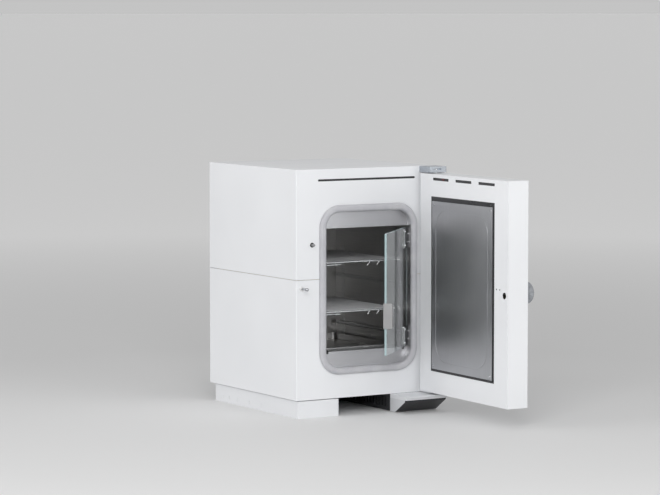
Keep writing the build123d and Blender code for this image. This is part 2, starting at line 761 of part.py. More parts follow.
def water_pan():
    """A shallow tray on the chamber's floor, with a rolled rim."""
    gap = 14.0
    x = (CHAMBER_LEFT + gap, CHAMBER_RIGHT - gap)
    y = (FRONT + SHELF_FRONT, CHAMBER_BACK - gap)
    z = (FLOOR_Z + FIT, FLOOR_Z + PAN_H)
    tray = round_edges(block(x, y, z), Axis.Z, 14, lambda c: True)
    inner = block(
        (x[0] + PAN_T, x[1] - PAN_T), (y[0] + PAN_T, y[1] - PAN_T), (z[0] + PAN_T, z[1] + 1)
    )
    return tray - round_edges(inner, Axis.Z, 13, lambda c: True)


def bumpers():
    """Black rubber clips over the lower lip's edge, on which the glass door rests."""
    clips = []
    y = (FRONT + GLASS_BACK + FIT, FRONT + THROAT_DEPTH - FIT / 3)
    for x in (CHAMBER_LEFT + BUMPER_FROM_WALL, CHAMBER_RIGHT - BUMPER_FROM_WALL):
        z = (LIP_LOW_Z - BUMPER_H / 2, LIP_LOW_Z + BUMPER_H / 2)
        pad = block((x - BUMPER_W / 2, x + BUMPER_W / 2), y, z)
        clips.append(round_edges(pad, Axis.Y, 2.5, lambda c: True))
    return Compound(children=clips)


def glass_pane():
    """The pane, with polished round corners."""
    height = GLASS_TOP - GLASS_BOTTOM
    pane = upright(
        (GLASS_LEFT + GLASS_RIGHT) / 2,
        BASE + (GLASS_BOTTOM + GLASS_TOP) / 2,
        GLASS_W,
        height,
        4,
        (FRONT + GLASS_BACK - GLASS_T, FRONT + GLASS_BACK),
    )
    return open_glass(pane)


def clamp_centres():
    """Heights of the two hinge clamps' centres."""
    inset = CLAMP_INSET + CLAMP_H / 2
    return (BASE + GLASS_BOTTOM + inset, BASE + GLASS_TOP - inset)


def glass_hinge_clamps():
    """Two folded clamps on the pane, each with a knuckle on the hinge pin."""
    clamps = []
    y = (GLASS_MID_Y - GLASS_T / 2 - FIT / 3, GLASS_MID_Y + GLASS_T / 2 + FIT / 3)
    for z in clamp_centres():
        x = (GLASS_RIGHT - CLAMP_W, GLASS_RIGHT + 0.8)
        tall = (z - CLAMP_H / 2, z + CLAMP_H / 2)
        clamp = block(x, (y[0] - CLAMP_T, y[1] + CLAMP_T), tall)
        clamp = round_edges(clamp, Axis.Y, 4, lambda c: c.X < x[0] + 1)
        clamp -= block((x[0] - 1, GLASS_RIGHT + FIT / 3), y, (tall[0] - 1, tall[1] + 1))
        third = CLAMP_H / 3
        knuckle = rod_z(GLASS_PIVOT_X, GLASS_MID_Y, KNUCKLE_R, (z - third / 2, z + third / 2))
        link = block(
            (GLASS_RIGHT + 0.2, GLASS_PIVOT_X),
            (GLASS_MID_Y - KNUCKLE_R * 0.6, GLASS_MID_Y + KNUCKLE_R * 0.6),
            (z - third / 2, z + third / 2),
        )
        clamp += knuckle + link
        clamp -= rod_z(GLASS_PIVOT_X, GLASS_MID_Y, GLASS_PIN_R + RUNNING, (z - third, z + third))
        clamps.append(open_glass(clamp))
    return Compound(children=clamps)


def glass_hinge_lugs():
    """Two forks on the throat's right wall that hold the hinge pins."""
    lugs = []
    wall = MID_X + THROAT_W / 2 - FIT / 3
    third = CLAMP_H / 3
    for z in clamp_centres():
        fork = None
        for side in (-1, 1):
            inner = z + side * (third / 2 + KNUCKLE_GAP)
            outer = z + side * (third / 2 + KNUCKLE_GAP + 4)
            ear_z = (min(inner, outer), max(inner, outer))
            ear = rod_z(GLASS_PIVOT_X, GLASS_MID_Y, KNUCKLE_R, ear_z)
            ear += block(
                (GLASS_PIVOT_X, wall), (GLASS_MID_Y - KNUCKLE_R, GLASS_MID_Y + KNUCKLE_R), ear_z
            )
            ear -= rod_z(
                GLASS_PIVOT_X, GLASS_MID_Y, GLASS_PIN_R + RUNNING, (ear_z[0] - 1, ear_z[1] + 1)
            )
            fork = ear if fork is None else fork + ear
        fork += block(
            (wall - 1.2, wall),
            (GLASS_MID_Y - KNUCKLE_R, GLASS_MID_Y + KNUCKLE_R),
            (z - CLAMP_H / 2, z + CLAMP_H / 2),
        )
        lugs.append(fork)
    return Compound(children=lugs)


def glass_hinge_pins():
    third = CLAMP_H / 3
    reach = third / 2 + KNUCKLE_GAP + 4
    pins = [
        rod_z(GLASS_PIVOT_X, GLASS_MID_Y, GLASS_PIN_R, (z - reach, z + reach))
        for z in clamp_centres()
    ]
    return Compound(children=pins)


def glass_clamp_screws():
    """Cap screws through each clamp, two a clamp, seen on the outer side."""
    screws = []
    y_face = GLASS_MID_Y - GLASS_T / 2 - FIT / 3 - CLAMP_T
    for z in clamp_centres():
        for step in (-1, 1):
            x = GLASS_RIGHT - CLAMP_W + 9
            head = rod_y(x, z + step * 21, 3.0, (y_face - 1.8, y_face))
            screws.append(open_glass(head))
    return Compound(children=screws)


def glass_handle():
    """The grip on the pane's free edge: a channel round the glass with a round-ended fin."""
    z = BASE + HANDLE_Z
    tall = (z - HANDLE_H / 2, z + HANDLE_H / 2)
    y = (GLASS_MID_Y - GLASS_T / 2 - FIT / 3, GLASS_MID_Y + GLASS_T / 2 + FIT / 3)
    x = (GLASS_LEFT - HANDLE_WALL, GLASS_LEFT + HANDLE_WRAP)
    channel = block(x, (y[0] - HANDLE_WALL, y[1] + HANDLE_WALL), tall)
    channel -= block((GLASS_LEFT - FIT / 3, x[1] + 1), y, (tall[0] - 1, tall[1] + 1))
    fin = block((x[0], x[0] + HANDLE_GRIP), (y[0] - HANDLE_OUT, y[0] - HANDLE_WALL / 2), tall)
    fin = round_edges(fin, Axis.X, 6, lambda c: c.Y < y[0] - HANDLE_OUT + 1)
    return open_glass(channel + fin)


def door_shell():
    """The outer door's painted pan: outer face and four edges, with the display windows."""
    y = (DOOR_OUTER_Y, DOOR_INNER_Y - DOOR_SHEET - FIT)
    z = (DOOR_LOW, DOOR_HIGH)
    outer = block((LEFT, RIGHT), y, z)
    outer = round_edges(outer, Axis.Z, 4, lambda c: c.Y < DOOR_OUTER_Y + 1)
    inner = block(
        (LEFT + DOOR_SHEET, RIGHT - DOOR_SHEET),
        (y[0] + DOOR_SHEET, y[1] + 1),
        (z[0] + DOOR_SHEET, z[1] - DOOR_SHEET),
    )
    shell = outer - inner
    for x in display_places():
        shell -= upright(
            x, DISPLAY_Z, DISPLAY_W, DISPLAY_H, 3, (DOOR_OUTER_Y - 1, DOOR_OUTER_Y + DOOR_SHEET + 1)
        )
    shell -= rod_y(
        KNOB_X,
        BASE + KNOB_Z,
        SPINDLE_R + RUNNING,
        (DOOR_OUTER_Y - 1, DOOR_OUTER_Y + DOOR_SHEET + 1),
    )
    for ends in ((z[0] - 1, z[0] + DOOR_SHEET + 1), (z[1] - DOOR_SHEET - 1, z[1] + 1)):
        shell -= rod_z(HINGE_X, HINGE_Y, HINGE_PIN_R + BUSH_T + FIT, ends)
    return open_door(shell)


def display_places():
    """X places of the displays, from the free edge to the hinge."""
    middle = (DISPLAY_COUNT - 1) / 2
    return [(i - middle) * DISPLAY_PITCH for i in range(DISPLAY_COUNT)]


def door_inner_panel():
    """The painted inner face, with its three slots, the recess and the latch holes."""
    y = (DOOR_INNER_Y - DOOR_SHEET, DOOR_INNER_Y)
    panel = block((LEFT, RIGHT), y, (DOOR_LOW, DOOR_HIGH))
    through = (y[0] - 1, y[1] + 1)
    for x in display_places():
        panel -= upright(x, DOOR_HIGH - INNER_SLOT_FROM_TOP, DISPLAY_W, INNER_SLOT_H, 1, through)
    panel -= upright(MID_X, RECESS_Z, RECESS_W, RECESS_H, 1, through)
    panel -= rod_y(PIN_X, BASE + PIN_Z, LATCH_HOLE_R, through)
    return open_door(panel)


def door_core():
    """The foam core between the two skins, cut clear of the latch and the displays."""
    gap = DOOR_SHEET + FIT
    y = (DOOR_OUTER_Y + gap, DOOR_INNER_Y - gap - SURROUND_DEPTH)
    z = (DOOR_LOW + gap, DOOR_HIGH - CORE_TOP)
    core = block((LEFT + gap, RIGHT - gap), y, z)
    x_latch = KNOB_X + LATCH_CAVITY_R
    core -= block(
        (LEFT, x_latch),
        (DOOR_INNER_Y - LATCH_CAVITY_D, DOOR_INNER_Y),
        (BASE + KNOB_Z - LATCH_CAVITY_R, BASE + KNOB_Z + LATCH_CAVITY_R),
    )
    core -= rod_y(KNOB_X, BASE + KNOB_Z, SPINDLE_R + 1, (y[0] - 1, y[1] + 1))
    bush_r = HINGE_PIN_R + BUSH_T + FIT
    core -= rod_z(HINGE_X, HINGE_Y, bush_r, (z[0] - 1, z[0] + HINGE_PIN_DEPTH + 4))
    return open_door(core)


def plate_surround():
    """The black frame in the recess, with mitred corners cut as shallow grooves."""
    y_face = DOOR_INNER_Y - SURROUND_LIP
    y = (y_face - SURROUND_DEPTH, y_face)
    ring = upright(MID_X, RECESS_Z, RECESS_W - FIT, RECESS_H - FIT, 1, y)
    opening = upright(
        MID_X, PLATE_MID_Z, PLATE_W - 40, PLATE_H - 40, 2, (y[0] - 1, y[1] + 1)
    )
    ring -= opening
    seat_y = DOOR_INNER_Y + PLATE_PROUD - PLATE_T - FIT / 3
    if seat_y < y_face:
        ring -= upright(
            MID_X, PLATE_MID_Z, PLATE_W + FIT, PLATE_H + FIT, 1, (seat_y, y_face + 1)
        )
    for side_x in (-1, 1):
        for side_z in (-1, 1):
            x = MID_X + side_x * RECESS_W / 2
            z = RECESS_Z + side_z * RECESS_H / 2
            groove = Box(34, 1.2, 0.8)
            turned = Pos(x, y_face, z) * Rot(0, -45 * side_x * side_z, 0) * groove
            ring -= turned
    return open_door(ring)


def door_plate():
    """The stainless plate, with a pressed bead that follows its outline."""
    y_face = DOOR_INNER_Y + PLATE_PROUD
    plate = upright(MID_X, PLATE_MID_Z, PLATE_W, PLATE_H, 2, (y_face - PLATE_T, y_face))
    width = PLATE_W - 2 * BEAD_INSET_SIDE
    height = PLATE_H - 2 * BEAD_INSET_TOP
    bead_y = (y_face - BEAD_DEPTH, y_face + 1)
    bead = upright(MID_X, PLATE_MID_Z, width, height, BEAD_R, bead_y)
    bead -= upright(
        MID_X, PLATE_MID_Z, width - 2 * BEAD_W, height - 2 * BEAD_W, BEAD_R - BEAD_W, (
            bead_y[0] - 1, bead_y[1] + 1)
    )
    return open_door(plate - bead)


def door_screws():
    """Four screws at the plate's corners and two that hold the latch bracket."""
    y_face = DOOR_INNER_Y + PLATE_PROUD
    heads = []
    for x in LATCH_SCREW_X:
        head = rod_y(
            LEFT + x, BASE + LATCH_SCREW_Z, LATCH_SCREW_R, (DOOR_INNER_Y, DOOR_INNER_Y + 1.2)
        )
        heads.append(open_door(head))
    for side_x in (-1, 1):
        for side_z in (-1, 1):
            x = MID_X + side_x * (PLATE_W / 2 - PLATE_SCREW_INSET)
            z = PLATE_MID_Z + side_z * (PLATE_H / 2 - PLATE_SCREW_INSET)
            head = rod_y(x, z, SCREW_HEAD_R, (y_face, y_face + SCREW_HEAD_T))
            heads.append(open_door(head))
    return Compound(children=heads)


def display_housings():
    """Dark boxes that hold the displays, open to the slots behind."""
    y = (DOOR_OUTER_Y + DOOR_SHEET + FIT, DOOR_INNER_Y - DOOR_SHEET - 4)
    boxes = []
    for x in display_places():
        half = DISPLAY_W / 2 + 5
        z = (DOOR_HIGH - CORE_TOP + 4, DOOR_HIGH - DOOR_SHEET - 1.5)
        boxes.append(open_door(block((x - half, x + half), y, z)))
    return Compound(children=boxes)


def display_lenses():
    """Tinted windows in the door's outer face."""
    y = (DOOR_OUTER_Y + 0.4, DOOR_OUTER_Y + DOOR_SHEET)
    lenses = []
    for x in display_places():
        lens = upright(x, DISPLAY_Z, DISPLAY_W - FIT, DISPLAY_H - FIT, 2.8, y)
        lenses.append(open_door(lens))
    return Compound(children=lenses)


def slot_windows():
    """Dark strips behind the three slots of the inner face."""
    y = (DOOR_INNER_Y - DOOR_SHEET - 3.6, DOOR_INNER_Y - 0.9)
    strips = []
    z = DOOR_HIGH - INNER_SLOT_FROM_TOP
    for x in display_places():
        strip = upright(x, z, DISPLAY_W - FIT, INNER_SLOT_H - FIT, 0.9, y)
        strips.append(open_door(strip))
    return Compound(children=strips)


def key_pads():
    """Flat keys under the displays, without travel, as a foil keypad has."""
    pads = []
    z = DISPLAY_Z - DISPLAY_H / 2 - 16
    for i in range(4):
        x = (i - 1.5) * KEY_PITCH
        pad = rod_y(x, z, KEY_R, (DOOR_OUTER_Y - 0.8, DOOR_OUTER_Y))
        pads.append(open_door(pad))
    return Compound(children=pads)


def hinge_bushes():
    """Flanged bushes in the door's top and bottom edges."""
    bushes = []
    for z, side in ((DOOR_LOW, 1), (DOOR_HIGH, -1)):
        ends = sorted((z, z + side * (HINGE_PIN_DEPTH + 2)))
        body = rod_z(HINGE_X, HINGE_Y, HINGE_PIN_R + BUSH_T, ends)
        hole = sorted((z - side, z + side * (HINGE_PIN_DEPTH + 1)))
        body -= rod_z(HINGE_X, HINGE_Y, HINGE_PIN_R + RUNNING, hole)
        bushes.append(open_door(body))
    return Compound(children=bushes)


def knob():
    """The turned grip, waisted at its root and rounded at its rim, with finger scallops."""
    y0 = DOOR_OUTER_Y - COLLAR_H - FIT
    tip = y0 - KNOB_H
    root = KNOB_R * 0.72
    points = [(0, 0), (root, 0), (KNOB_R, KNOB_H * 0.42), (KNOB_R, KNOB_H * 0.68)]
    outline = Polyline(*points)
    crown = Spline((KNOB_R, KNOB_H * 0.68), (KNOB_R * 0.78, KNOB_H * 0.93), (0, KNOB_H))
    closing = Line((0, KNOB_H), (0, 0))
    face = make_face([*outline.edges(), crown, closing])
    body = revolve(Plane.XY * face, Axis.Y)
    scallops = 8
    for i in range(scallops):
        turn = 360 * i / scallops
        body -= Rot(0, turn, 0) * Pos(KNOB_R + 9, KNOB_H / 2, 0) * Rot(90, 0, 0) * Cylinder(
            11.5, KNOB_H * 3
        )
    placed = Pos(KNOB_X, y0, BASE + KNOB_Z) * Rot(180, 0, 0) * body
    return open_door(placed)


def knob_collar():
    y = (DOOR_OUTER_Y - COLLAR_H, DOOR_OUTER_Y - FIT / 3)
    ring = rod_y(KNOB_X, BASE + KNOB_Z, COLLAR_R, y)
    rim = [e for e in ring.edges() if abs(e.center().Y - y[0]) < 0.01]
    ring = chamfer(rim, 2)
    ring -= rod_y(KNOB_X, BASE + KNOB_Z, SPINDLE_R + RUNNING, (y[0] - 1, y[1] + 1))
    return open_door(ring)


def latch_spindle():
    """The shaft from the knob through the door, with a journal at its inner end."""
    cam = cam_y()
    z = BASE + KNOB_Z
    shaft = rod_y(KNOB_X, z, SPINDLE_R, (DOOR_OUTER_Y - COLLAR_H - FIT, cam[1]))
    journal = rod_y(KNOB_X, z, JOURNAL_R, (cam[1] - 1, DOOR_INNER_Y - DOOR_SHEET - 1))
    return open_door(shaft + journal)


def cam_y():
    """Y places of the cam's two faces, in the middle of the striker's neck."""
    middle = FRONT - PIN_OUT + PIN_HEAD_L + PIN_NECK_L / 2
    return (middle - CAM_T / 2, middle + CAM_T / 2)


def latch_cam():
    """The hook plate on the spindle: its arc slot takes the striker's neck when it is turned."""
    y = cam_y()
    reach = math.hypot(PIN_X - KNOB_X, PIN_Z - KNOB_Z)
    aim = math.degrees(math.atan2(PIN_Z - KNOB_Z, PIN_X - KNOB_X))
    outer_r = reach + PIN_NECK_R + 5
    inner_r = reach - PIN_NECK_R - 5
    plane = Plane(origin=(KNOB_X, y[0], BASE + KNOB_Z), x_dir=(1, 0, 0), z_dir=(0, -1, 0))
    hub = Circle(SPINDLE_R + 5)
    arm_span = 34.0
    arm = Circle(outer_r) - Circle(inner_r)
    far = 2 * outer_r
    span = math.radians(arm_span)
    wedge = make_face(
        Polyline((0, 0), (far, 0), (far * math.cos(span), far * math.sin(span)), close=True)
    )
    arm = arm & wedge
    spoke = Pos(outer_r / 2, 4) * Rectangle(outer_r, 7)
    spoke = Rot(0, 0, arm_span - 12) * spoke & Circle(inner_r + 3)
    slot_r = PIN_NECK_R + 0.6
    slot = (Circle(reach + slot_r) - Circle(reach - slot_r)) & Rot(0, 0, -8) * wedge
    sketch = hub + arm + spoke - slot
    flat = plane * Rot(0, 0, aim + CAM_TRAVEL - SLOT_LEAD) * sketch
    cam = extrude(flat, -CAM_T)
    cam += rod_y(KNOB_X, BASE + KNOB_Z, SPINDLE_R + 3, (y[0] - 2, y[1]))
    cam -= rod_y(KNOB_X, BASE + KNOB_Z, SPINDLE_R + PRESSED, (y[0] - 3, y[1] + 1))
    return open_door(cam)


def latch_bracket():
    """A pressed plate behind the inner face that steadies the spindle's journal."""
    y_panel = DOOR_INNER_Y - DOOR_SHEET - FIT / 3
    z = BASE + KNOB_Z
    plate = upright(KNOB_X - 1, z + 3, 40, 42, 4, (y_panel - 2, y_panel))
    boss = rod_y(KNOB_X, z, JOURNAL_R + 4, (cam_y()[1] + 1.2, y_panel))
    bore = rod_y(KNOB_X, z, JOURNAL_R + RUNNING, (cam_y()[1], y_panel + 1))
    return open_door(plate + boss - bore)


def chamber_heaters():
    """Flat heating mats on the liner's sides and floor."""
    gap = LINER_T + FIT
    margin = 15.0
    y = (CHAMBER_FRONT + margin, CHAMBER_BACK - margin)
    z = (FLOOR_Z + margin, CEILING_Z - margin)
    mats = []
    left = CHAMBER_LEFT - gap
    right = CHAMBER_RIGHT + gap
    mats.append(block((left - HEATER_T, left), y, z))
    mats.append(block((right, right + HEATER_T), y, z))
    low = FLOOR_Z - gap
    mats.append(
        block((CHAMBER_LEFT + margin, CHAMBER_RIGHT - margin), y, (low - HEATER_T, low))
    )
    return Compound(children=mats)


def top_z():
    """The level on which the parts in the top compartment stand."""
    wall = LINER_T + HEATER_T + 2 * FIT
    return CEILING_Z + wall + TOP_WOOL + FIT


def electronics_tray():
    """A folded tray on the top insulation that carries the board, the supply and the valve."""
    x = (CHAMBER_LEFT + 10, CHAMBER_RIGHT - 10)
    y = (FRONT + 60, CHAMBER_BACK - 30)
    z = top_z()
    tray = block(x, y, (z, z + 12))
    return tray - block((x[0] + 1.2, x[1] - 1.2), (y[0] + 1.2, y[1] - 1.2), (z + 1.2, z + 13))


def control_board():
    z = top_z() + 1.2 + FIT
    x = (CHAMBER_LEFT + 30, CHAMBER_LEFT + 180)
    y = (FRONT + 90, FRONT + 200)
    board = block(x, y, (z + 6, z + 7.6))
    for x_post in (x[0] + 8, x[1] - 8):
        for y_post in (y[0] + 8, y[1] - 8):
            board += rod_z(x_post, y_post, 3, (z, z + 6))
    board += block((x[0] + 40, x[0] + 75), (y[0] + 30, y[0] + 65), (z + 7.6, z + 12))
    board += block((x[1] - 40, x[1] - 15), (y[0] + 20, y[0] + 80), (z + 7.6, z + 22))
    return board


def temperature_probe():
    """The sheathed sensor through the chamber's back wall."""
    y = (CHAMBER_BACK - PROBE_OUT, CHAMBER_BACK + LINER_T + PROBE_SEAT - 1)
    sheath = rod_y(PROBE_X, PROBE_Z, PROBE_R, y)
    tip = [e for e in sheath.edges() if abs(e.center().Y - y[0]) < 0.01]
    sheath = fillet(tip, PROBE_R * 0.9)
    collar = rod_y(PROBE_X, PROBE_Z, PROBE_R + 5, (CHAMBER_BACK - 5, CHAMBER_BACK - FIT))
    return sheath + collar


def access_port():
    """The sleeve from the chamber through the back."""
    y = (CHAMBER_BACK + FIT / 3, BACK + 8)
    tube = rod_y(PORT_X, PORT_Z, PORT_R, y)
    flange = rod_y(PORT_X, PORT_Z, PORT_R + 6, (BACK + FIT, BACK + 3))
    bore = rod_y(PORT_X, PORT_Z, PORT_R - PORT_WALL, (y[0] - 1, y[1] + 1))
    return tube + flange - bore


def port_plug():
    """The silicone stopper in the access port's outer end."""
    bore = PORT_R - PORT_WALL - FIT
    plug = rod_y(PORT_X, PORT_Z, bore, (BACK - 22, BACK + 8 + FIT))
    return plug + rod_y(PORT_X, PORT_Z, PORT_R + 2, (BACK + 8 + FIT, BACK + 14))


def gas_inlets():
    """Two barbed hose tails through the back sheet."""
    tails = []
    for x in GAS_X:
        tail = rod_y(x, GAS_Z, GAS_R, (BACK - SHEET - 8, BACK + 6))
        tail += rod_y(x, GAS_Z, GAS_R + 3, (BACK + FIT / 3, BACK + 4))
        tail += rod_y(x, GAS_Z, 3, (BACK + 6, BACK + 22))
        for i in range(3):
            y = BACK + 9 + i * 4
            plane = Plane(origin=(x, y, GAS_Z), x_dir=(1, 0, 0), z_dir=(0, 1, 0))
            tail += extrude(plane * Circle(4.2), 3, taper=18)
        tail -= rod_y(x, GAS_Z, 1.6, (BACK - SHEET - 9, BACK + 23))
        tails.append(tail)
    return Compound(children=tails)


def power_inlet():
    """A mains inlet with a hood and three flat pins inside."""
    y = (BACK - SHEET - 16, BACK + 2)
    body = upright(INLET_X, INLET_Z, INLET_W, INLET_H, 1, y)
    body += upright(INLET_X, INLET_Z, INLET_W + 8, INLET_H + 8, 3, (BACK + FIT / 3, BACK + 2))
    well = upright(INLET_X, INLET_Z, INLET_W - 8, INLET_H - 18, 4, (BACK - 12, BACK + 3))
    body -= well
    for step in (-1, 0, 1):
        z = INLET_Z + step * 8
        body += block((INLET_X - 3, INLET_X + 3), (BACK - 12.5, BACK - 1), (z - 1, z + 1))
    return body


def parts():
    """Each piece by its name."""
    return {
        "upper_cover": upper_cover(),
        "lower_cover": lower_cover(),
        "base_pan": base_pan(),
        "rear_panel": rear_panel(),
        "rear_screws": rear_screws(),
        "insulation_blocks": insulation_blocks(),
        "chamber_liner": chamber_liner(),
        "chamber_heaters": chamber_heaters(),
        "front_frame": front_frame(),
        "door_gasket": door_gasket(),
        "slot_trim": slot_trim(),
        "door_switch_body": door_switch_body(),
        "door_switch_button": door_switch_button(),
        "striker_pin": striker_pin(),
        "striker_collar": striker_collar(),
        "hinge_bracket_top": hinge_bracket_top(),
        "hinge_bracket_bottom": hinge_bracket_bottom(),
        "hinge_pins": hinge_pins(),
        "plinth": plinth(),
        "service_unit_housing": service_unit_housing(),
        "service_unit_nose": service_unit_nose(),
        "service_unit_lip": service_unit_lip(),
        "shelf_rails_left": rail_rack(-1),
        "shelf_rails_right": rail_rack(1),
        "lower_shelf_frame": shelf(LOWER_LEVEL),
        "lower_shelf_mesh": shelf_mesh(LOWER_LEVEL),
        "upper_shelf_frame": shelf(UPPER_LEVEL),
        "upper_shelf_mesh": shelf_mesh(UPPER_LEVEL),
        "water_pan": water_pan(),
        "glass_door_bumpers": bumpers(),
        "glass_pane": glass_pane(),
        "glass_hinge_clamps": glass_hinge_clamps(),
        "glass_hinge_lugs": glass_hinge_lugs(),
        "glass_hinge_pins": glass_hinge_pins(),
        "glass_clamp_screws": glass_clamp_screws(),
        "glass_handle": glass_handle(),
        "door_shell": door_shell(),
        "door_inner_panel": door_inner_panel(),
        "door_core": door_core(),
        "plate_surround": plate_surround(),
        "door_plate": door_plate(),
        "door_screws": door_screws(),
        "display_housings": display_housings(),
        "display_lenses": display_lenses(),
        "slot_windows": slot_windows(),
        "key_pads": key_pads(),
        "hinge_bushes": hinge_bushes(),
        "door_knob": knob(),
        "knob_collar": knob_collar(),
        "latch_spindle": latch_spindle(),
        "latch_cam": latch_cam(),
        "latch_bracket": latch_bracket(),
        "electronics_tray": electronics_tray(),
        "control_board": control_board(),
        "temperature_probe": temperature_probe(),
        "access_port": access_port(),
        "port_plug": port_plug(),
        "gas_inlets": gas_inlets(),
        "power_inlet": power_inlet(),
    }


os.makedirs("parts", exist_ok=True)
for name, solid in parts().items():
    export_step(solid, f"parts/{name}.step")
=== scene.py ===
"""Looks of a bench laboratory incubator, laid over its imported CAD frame.

The frame gives every rigid piece and its place. This script dresses the pieces in
procedural finishes, weaves the two expanded-metal shelves, lights the number displays,
adds the small trim that the CAD leaves plain, and sets up a pale studio with the camera.
"""

import logging
import math
from dataclasses import dataclass, field
from enum import Enum
from typing import Any, Iterable, Sequence

import bmesh
import bpy
from mathutils import Matrix, Vector


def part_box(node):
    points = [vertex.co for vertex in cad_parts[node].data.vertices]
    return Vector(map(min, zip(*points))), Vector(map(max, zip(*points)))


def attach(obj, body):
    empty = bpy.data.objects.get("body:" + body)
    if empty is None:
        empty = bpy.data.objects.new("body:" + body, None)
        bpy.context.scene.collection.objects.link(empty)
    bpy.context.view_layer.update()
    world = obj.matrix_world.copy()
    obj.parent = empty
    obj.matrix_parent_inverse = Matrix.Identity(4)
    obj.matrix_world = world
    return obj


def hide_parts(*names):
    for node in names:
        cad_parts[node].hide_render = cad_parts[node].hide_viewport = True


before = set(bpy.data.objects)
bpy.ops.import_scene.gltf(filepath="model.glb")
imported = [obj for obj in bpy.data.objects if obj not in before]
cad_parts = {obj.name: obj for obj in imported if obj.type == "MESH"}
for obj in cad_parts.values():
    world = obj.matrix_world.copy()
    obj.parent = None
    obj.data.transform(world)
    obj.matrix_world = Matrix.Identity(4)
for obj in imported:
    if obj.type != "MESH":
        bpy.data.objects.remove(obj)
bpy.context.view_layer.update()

LOG = logging.getLogger("incubator")
Rgb = tuple[float, float, float]
Span = tuple[float, float]
NOISE_SPAN: Span = (0.3, 0.7)
MIX_COLOUR_RESULT = 2


def dimmed(colour: Rgb, share: float) -> Rgb:
    """A colour that keeps only a share of its light."""
    return tuple(part * share for part in colour)


class Grain(Enum):
    """The way in which sheet metal was brushed."""

    ACROSS = (1.0, 0.0, 0.0)
    INWARD = (0.0, 1.0, 0.0)
    UPRIGHT = (0.0, 0.0, 1.0)


class Sock:
    """A value socket that adds Math nodes when it stands in an expression."""

    def __init__(self, shader: "Shader", socket: bpy.types.NodeSocket) -> None:
        """Wraps an output socket of a shader."""
        self.shader = shader
        self.socket = socket

    def _maths(self, operation: str, first: Any, second: Any) -> "Sock":
        """The result of a new Math node on two values or sockets."""
        node = self.shader.add("ShaderNodeMath", {"operation": operation}, {0: first, 1: second})
        return Sock(self.shader, node.outputs[0])

    def __add__(self, other: Any) -> "Sock":
        """This plus other."""
        return self._maths("ADD", self, other)

    __radd__ = __add__

    def __mul__(self, other: Any) -> "Sock":
        """This times other."""
        return self._maths("MULTIPLY", self, other)

    __rmul__ = __mul__

    def __gt__(self, other: Any) -> "Sock":
        """One where this is more than other, else zero."""
        return self._maths("GREATER_THAN", self, other)

    def __abs__(self) -> "Sock":
        """The size of this without its sign."""
        return self._maths("ABSOLUTE", self, 0.0)


